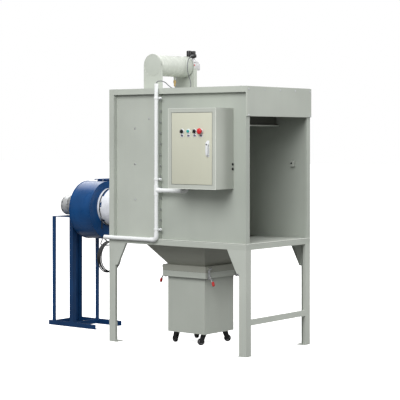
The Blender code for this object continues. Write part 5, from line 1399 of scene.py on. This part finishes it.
piece("motor_casing", [
    turned(flangeProfile, at(fan["x"], motorStart, fan["z"]), (0, 1, 0), 48, True),
    carried(finSection, finPath, (1, 0, 0)),
] + footShapes + webShapes, looks["silverPaint"], "motor_silver", replaces=["motor_body"], sharp=40)
piece("motor_fan_cover",
    [turned(coverProfile + [(0, 0.070), (0.074, 0.070)], at(fan["x"], coverStart, fan["z"]), (0, 1, 0),
    64, True)], looks["silverPaint"], "motor_silver", sharp=40)
# black strips round the fan cover: painted shade where the vent slots open onto the dark inside
slotAngles = np.arange(14) * 2 * pi / 14 + 0.1
slotShadeShapes = []
for t in slotAngles:
    ring = np.linspace(t - 0.13, t + 0.13, 7)
    path = np.array([at(fan["x"] + 0.0838 * cos(r), coverStart + 0.050, fan["z"] + 0.0838 * sin(r))
        for r in ring])
    slotShadeShapes.append(carried(roundOutline(0.0075, 0.0012, 0.0005, 2), path, (0, 1, 0)))
piece("cover_slots_painted_shade", slotShadeShapes, looks["blackPlastic"], "motor_silver", sharp=50)
footBolts = [at(fan["x"] + sx * 0.058, motorStart + y, plateTop + 0.0132) for sx in (-1, 1)
    for y in (0.062, 0.148)]
piece("motor_foot_bolts", boltsAt(footBolts, (0, 0, 1)), *zincPlated)
flangeRound = [at(fan["x"] + 0.088 * cos(t), motorStart + 0.0122, fan["z"] + 0.088 * sin(t))
    for t in np.arange(4) * pi / 2 + pi / 4]
piece("motor_flange_bolts", boltsAt(flangeRound, (0, 1, 0)), *zincPlated)

terminalLow, terminalHigh = local("terminal_box")
boxBottom = terminalLow[2] + 0.018
piece("motor_terminal_box", [
    roundBlock(at(terminalLow[0] + 0.0005, terminalLow[1], boxBottom),
        at(terminalHigh[0] - 0.010, terminalHigh[1], terminalHigh[2]), 0.005),
    roundBlock(at(terminalHigh[0] - 0.0096, terminalLow[1] + 0.0008, boxBottom + 0.0008),
        at(terminalHigh[0], terminalHigh[1] - 0.0008, terminalHigh[2] - 0.0008), 0.004),
], looks["silverPaint"], "motor_silver", replaces=["terminal_box"])
lidScrews = [at(terminalHigh[0] - 0.0006, y, z)
    for y in (terminalLow[1] + 0.010, terminalHigh[1] - 0.010)
    for z in (boxBottom + 0.010, terminalHigh[2] - 0.010)]
piece("terminal_lid_screws", screwsAt(lidScrews, (1, 0, 0), False), *zincPlated)
terminalMid = (terminalLow + terminalHigh) / 2
piece("motor_lead_boot", [
    turned([(0.0048, 0), (0.0088, 0), (0.0088, 0.003), (0.0064, 0.020), (0.0058, 0.0225),
        (0.0048, 0.0225)],
           at(terminalMid[0], terminalMid[1], terminalLow[2] - 0.0001), (0, 0, -1), 24, True),
], looks["rubber"], "selector_black")
piece("motor_cable_gland", [
    turned([(0.0048, 0.000), (0.0078, 0.000), (0.0098, 0.003), (0.0098, 0.008), (0.0118, 0.009),
        (0.0118, 0.0185), (0.0048, 0.0185)],
           at(terminalMid[0], terminalMid[1], terminalLow[2]), (0, 0, 1), 24, True),
], *blackFitting)
print("motor built")

# Cloth duct with its clamps

duct = {"radius": 0.1588, "rows": 80, "columns": 160, "thick": 0.0011}
ductStart, ductEnd = bodyLength + 0.0006, fanFront - 0.0006
lengthShare = np.linspace(0, 1, duct["rows"])[:, None]
roundAngle = (np.arange(duct["columns"]) * 2 * pi / duct["columns"])[None]
slack = np.sin(pi * lengthShare) ** 0.6
folds = (
    0.0022 * np.sin(7 * roundAngle + 9 * lengthShare)
    + 0.0016 * np.sin(13 * roundAngle - 17 * lengthShare + 1.3)
    + 0.0016 * np.sin(3 * roundAngle + 31 * lengthShare + 0.4)
)
pull = np.exp(-((lengthShare - 0.06) / 0.035) ** 2) + np.exp(-((lengthShare - 0.94) / 0.035) ** 2)
gathers = 0.0005 * np.sin(38 * roundAngle) * pull
ductRadius = duct["radius"] - 0.0006 * pull - 0.0035 * slack + folds * slack * 0.8 + gathers
sag = -0.004 * np.sin(pi * lengthShare)
ductGrid = np.stack((
    baseLow.x + fan["x"] + ductRadius * np.cos(roundAngle),
    baseLow.y + ductStart + (ductEnd - ductStart) * lengthShare + 0 * roundAngle,
    fan["z"] + sag * (1 - np.sin(roundAngle)) / 2 + ductRadius * np.sin(roundAngle),
), 2)
ductMesh = meshOf("duct_cloth_sleeve", [sheetOf(ductGrid, wrapColumns=True)])
ductMesh.shade_smooth()
wrap = ductMesh.uv_layers.new(name="UVMap")
loopPoint = np.zeros(len(ductMesh.loops), np.int32)
ductMesh.loops.foreach_get("vertex_index", loopPoint)
columnOf, rowOf = loopPoint % duct["columns"], loopPoint // duct["columns"]
firstOfFace = np.repeat(columnOf.reshape(-1, 4)[:, 0], 4)
columnOf = np.where((columnOf == 0) & (firstOfFace == duct["columns"] - 1), duct["columns"], columnOf)
uvs = np.stack((columnOf / duct["columns"] * 2 * pi * duct["radius"],
    rowOf / (duct["rows"] - 1) * (ductEnd - ductStart)), 1)
wrap.data.foreach_set("uv", uvs.astype(np.float32).ravel())
ductMesh.materials.append(looks["ductCloth"])
ductSleeve = bpy.data.objects.new("duct_cloth_sleeve", ductMesh)
scene.collection.objects.link(ductSleeve)
ductFlip = bmesh.new()
ductFlip.from_mesh(ductMesh)
bmesh.ops.recalc_face_normals(ductFlip, faces=ductFlip.faces)
ductFlip.to_mesh(ductMesh)
ductFlip.free()
cloth = ductSleeve.modifiers.new("thickness", "SOLIDIFY")
cloth.thickness = duct["thick"]
cloth.offset = -1
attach(ductSleeve, "root")
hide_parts("duct_sleeve")

strapAngles = np.arange(96) * 2 * pi / 96
strapPlaces = (ductStart + 0.026, ductEnd - 0.028)
strap = {"radius": 0.1606, "width": 0.010, "thick": 0.0022, "tailAngle": 216, "tail": 0.085,
    "tailWidth": 0.014}
strapShapes = []
for y in strapPlaces:
    ring = np.array([at(fan["x"] + strap["radius"] * cos(t), y, fan["z"] + strap["radius"] * sin(t))
        for t in strapAngles])
    strapShapes.append(carried(roundOutline(strap["width"], strap["thick"], 0.0008, 2), ring,
        (0, 1, 0), wrapPath=True))
    tailAngle = radians(strap["tailAngle"])
    root = at(fan["x"] + 0.161 * cos(tailAngle), y, fan["z"] + 0.161 * sin(tailAngle))
    tail = np.array([root + (0.004 * s, 0.004 * s * s, -strap["tail"] * s)
        for s in np.linspace(0, 1, 8)])
    strapShapes.append(carried(roundOutline(strap["tailWidth"], 0.0020, 0.0008, 2), tail, (0, 1, 0)))
piece("duct_straps", strapShapes, looks["rubber"], "caster_wheel", sharp=50)
piece("strap_buckles", [
    roundBlock(at(fan["x"] - 0.1400, y - 0.011, fan["z"] - 0.1020),
        at(fan["x"] - 0.1255, y + 0.011, fan["z"] - 0.0830), 0.003) for y in strapPlaces
], *zincPlated)

collarRing = [(0.1578, 0.0002), (0.186, 0.0002), (0.1865, 0.0012), (0.1855, 0.0022), (0.160, 0.0026),
    (0.1578, 0.0022)]
piece("duct_collar", [turned(collarRing, at(fan["x"], bodyLength, fan["z"]), (0, 1, 0), 72, True)],
    *greyBody)
collarScrews = [at(fan["x"] + 0.175 * cos(t), bodyLength + 0.0024, fan["z"] + 0.175 * sin(t))
    for t in np.arange(10) * pi / 5]
piece("duct_collar_screws", screwsAt(collarScrews, (0, 1, 0), False), *zincPlated)

# Cable hook on the frame, and feet of the stand

hookX = fanCable["middle"][0]
hookPath = bentPath([
    at(hookX, bodyLength + 0.002, 0.812), at(hookX, bodyLength + 0.006, 0.7775),
        at(hookX, 1.434, 0.7757), at(hookX, 1.438, 0.803),
], 0.008, 6)
piece("cable_hook", [
    carried(circleOutline(0.0032, 14), hookPath, (1, 0, 0)),
    roundBlock(at(hookX - 0.014, bodyLength + 0.0002, 0.7885),
        at(hookX + 0.014, bodyLength + 0.0026, 0.8165), 0.001),
], *zincPlated, sharp=50)
piece("stand_anchor_bolts",
    boltsAt([at(x, y, 0.0042) for x, y in [(x, y) for x in (0.432, 0.720) for y in (1.955, 2.30)]],
    (0, 0, 1)),
      *zincPlated)
print("duct and cables fitted")


# Studio

studio = {"floor": 0.93, "bounce": 0.2, "glow": 0.85, "sky": 0.47, "floorSize": 60.0}
floorMesh = bpy.data.meshes.new("studio_floor")
edge = studio["floorSize"]
floorMesh.from_pydata([(-edge, -edge, -0.0004), (edge, -edge, -0.0004), (edge, edge, -0.0004),
    (-edge, edge, -0.0004)], [], [(0, 1, 2, 3)])
floor = bpy.data.objects.new("studio_floor", floorMesh)
scene.collection.objects.link(floor)
floorMaterial = bpy.data.materials.new("studio_floor")
floorMaterial.use_nodes = True
floorTree = floorMaterial.node_tree
floorShader = floorTree.nodes["Principled BSDF"]
floorShader.inputs["Roughness"].default_value = 0.9
floorShader.inputs["Specular IOR Level"].default_value = 0.1
rays = floorTree.nodes.new("ShaderNodeLightPath")
floorMix = floorTree.nodes.new("ShaderNodeMix")
floorMix.data_type = "RGBA"
floorMix.inputs[6].default_value = (studio["bounce"],) * 3 + (1,)
floorMix.inputs[7].default_value = (studio["floor"],) * 3 + (1,)
floorTree.links.new(rays.outputs["Is Camera Ray"], floorMix.inputs[0])
floorTree.links.new(floorMix.outputs[2], floorShader.inputs["Base Color"])
glow = floorTree.nodes.new("ShaderNodeMapRange")
glow.inputs["To Max"].default_value = studio["glow"]
floorTree.links.new(rays.outputs["Is Camera Ray"], glow.inputs["Value"])
floorTree.links.new(glow.outputs["Result"], floorShader.inputs["Emission Strength"])
floorShader.inputs["Emission Color"].default_value = (1, 1, 1, 1)
floorMesh.materials.append(floorMaterial)

world = bpy.data.worlds.new("studio")
scene.world = world
world.use_nodes = True
worldTree = world.node_tree
sky = worldTree.nodes["Background"]
sky.inputs["Color"].default_value = (1, 1, 1, 1)
skyRays = worldTree.nodes.new("ShaderNodeLightPath")
skyStrength = worldTree.nodes.new("ShaderNodeMapRange")
skyStrength.inputs["To Min"].default_value = studio["sky"]
skyStrength.inputs["To Max"].default_value = 1.0
worldTree.links.new(skyRays.outputs["Is Camera Ray"], skyStrength.inputs["Value"])
worldTree.links.new(skyStrength.outputs["Result"], sky.inputs["Strength"])

lamps = [
    {"name": "key", "place": (-6.0, -1.5, 5.5), "aim": (0.4, 0.8, 1.2), "size": 4.5, "power": 470},
    {"name": "front", "place": (3.6, -6.0, 4.6), "aim": (0.4, 0.0, 1.2), "size": 4.0, "power": 250},
    {"name": "top", "place": (0.5, 1.0, 7.0), "aim": (0.4, 1.0, 0.0), "size": 5.0, "power": 200},
    {"name": "back", "place": (2.9, 5.7, 5.3), "aim": (0.585, 1.99, 1.2), "size": 5.0, "power": 170},
]
for lamp in lamps:
    data = bpy.data.lights.new(lamp["name"], "AREA")
    data.energy = lamp["power"]
    data.size = lamp["size"]
    light = bpy.data.objects.new(lamp["name"], data)
    light.location = at(*lamp["place"])
    light.rotation_euler = Vector(at(*lamp["aim"]) - at(*lamp["place"])).to_track_quat("-Z",
        "Y").to_euler()
    scene.collection.objects.link(light)

scene.view_settings.view_transform = "Standard"
scene.view_settings.look = "None"
print("studio lit")
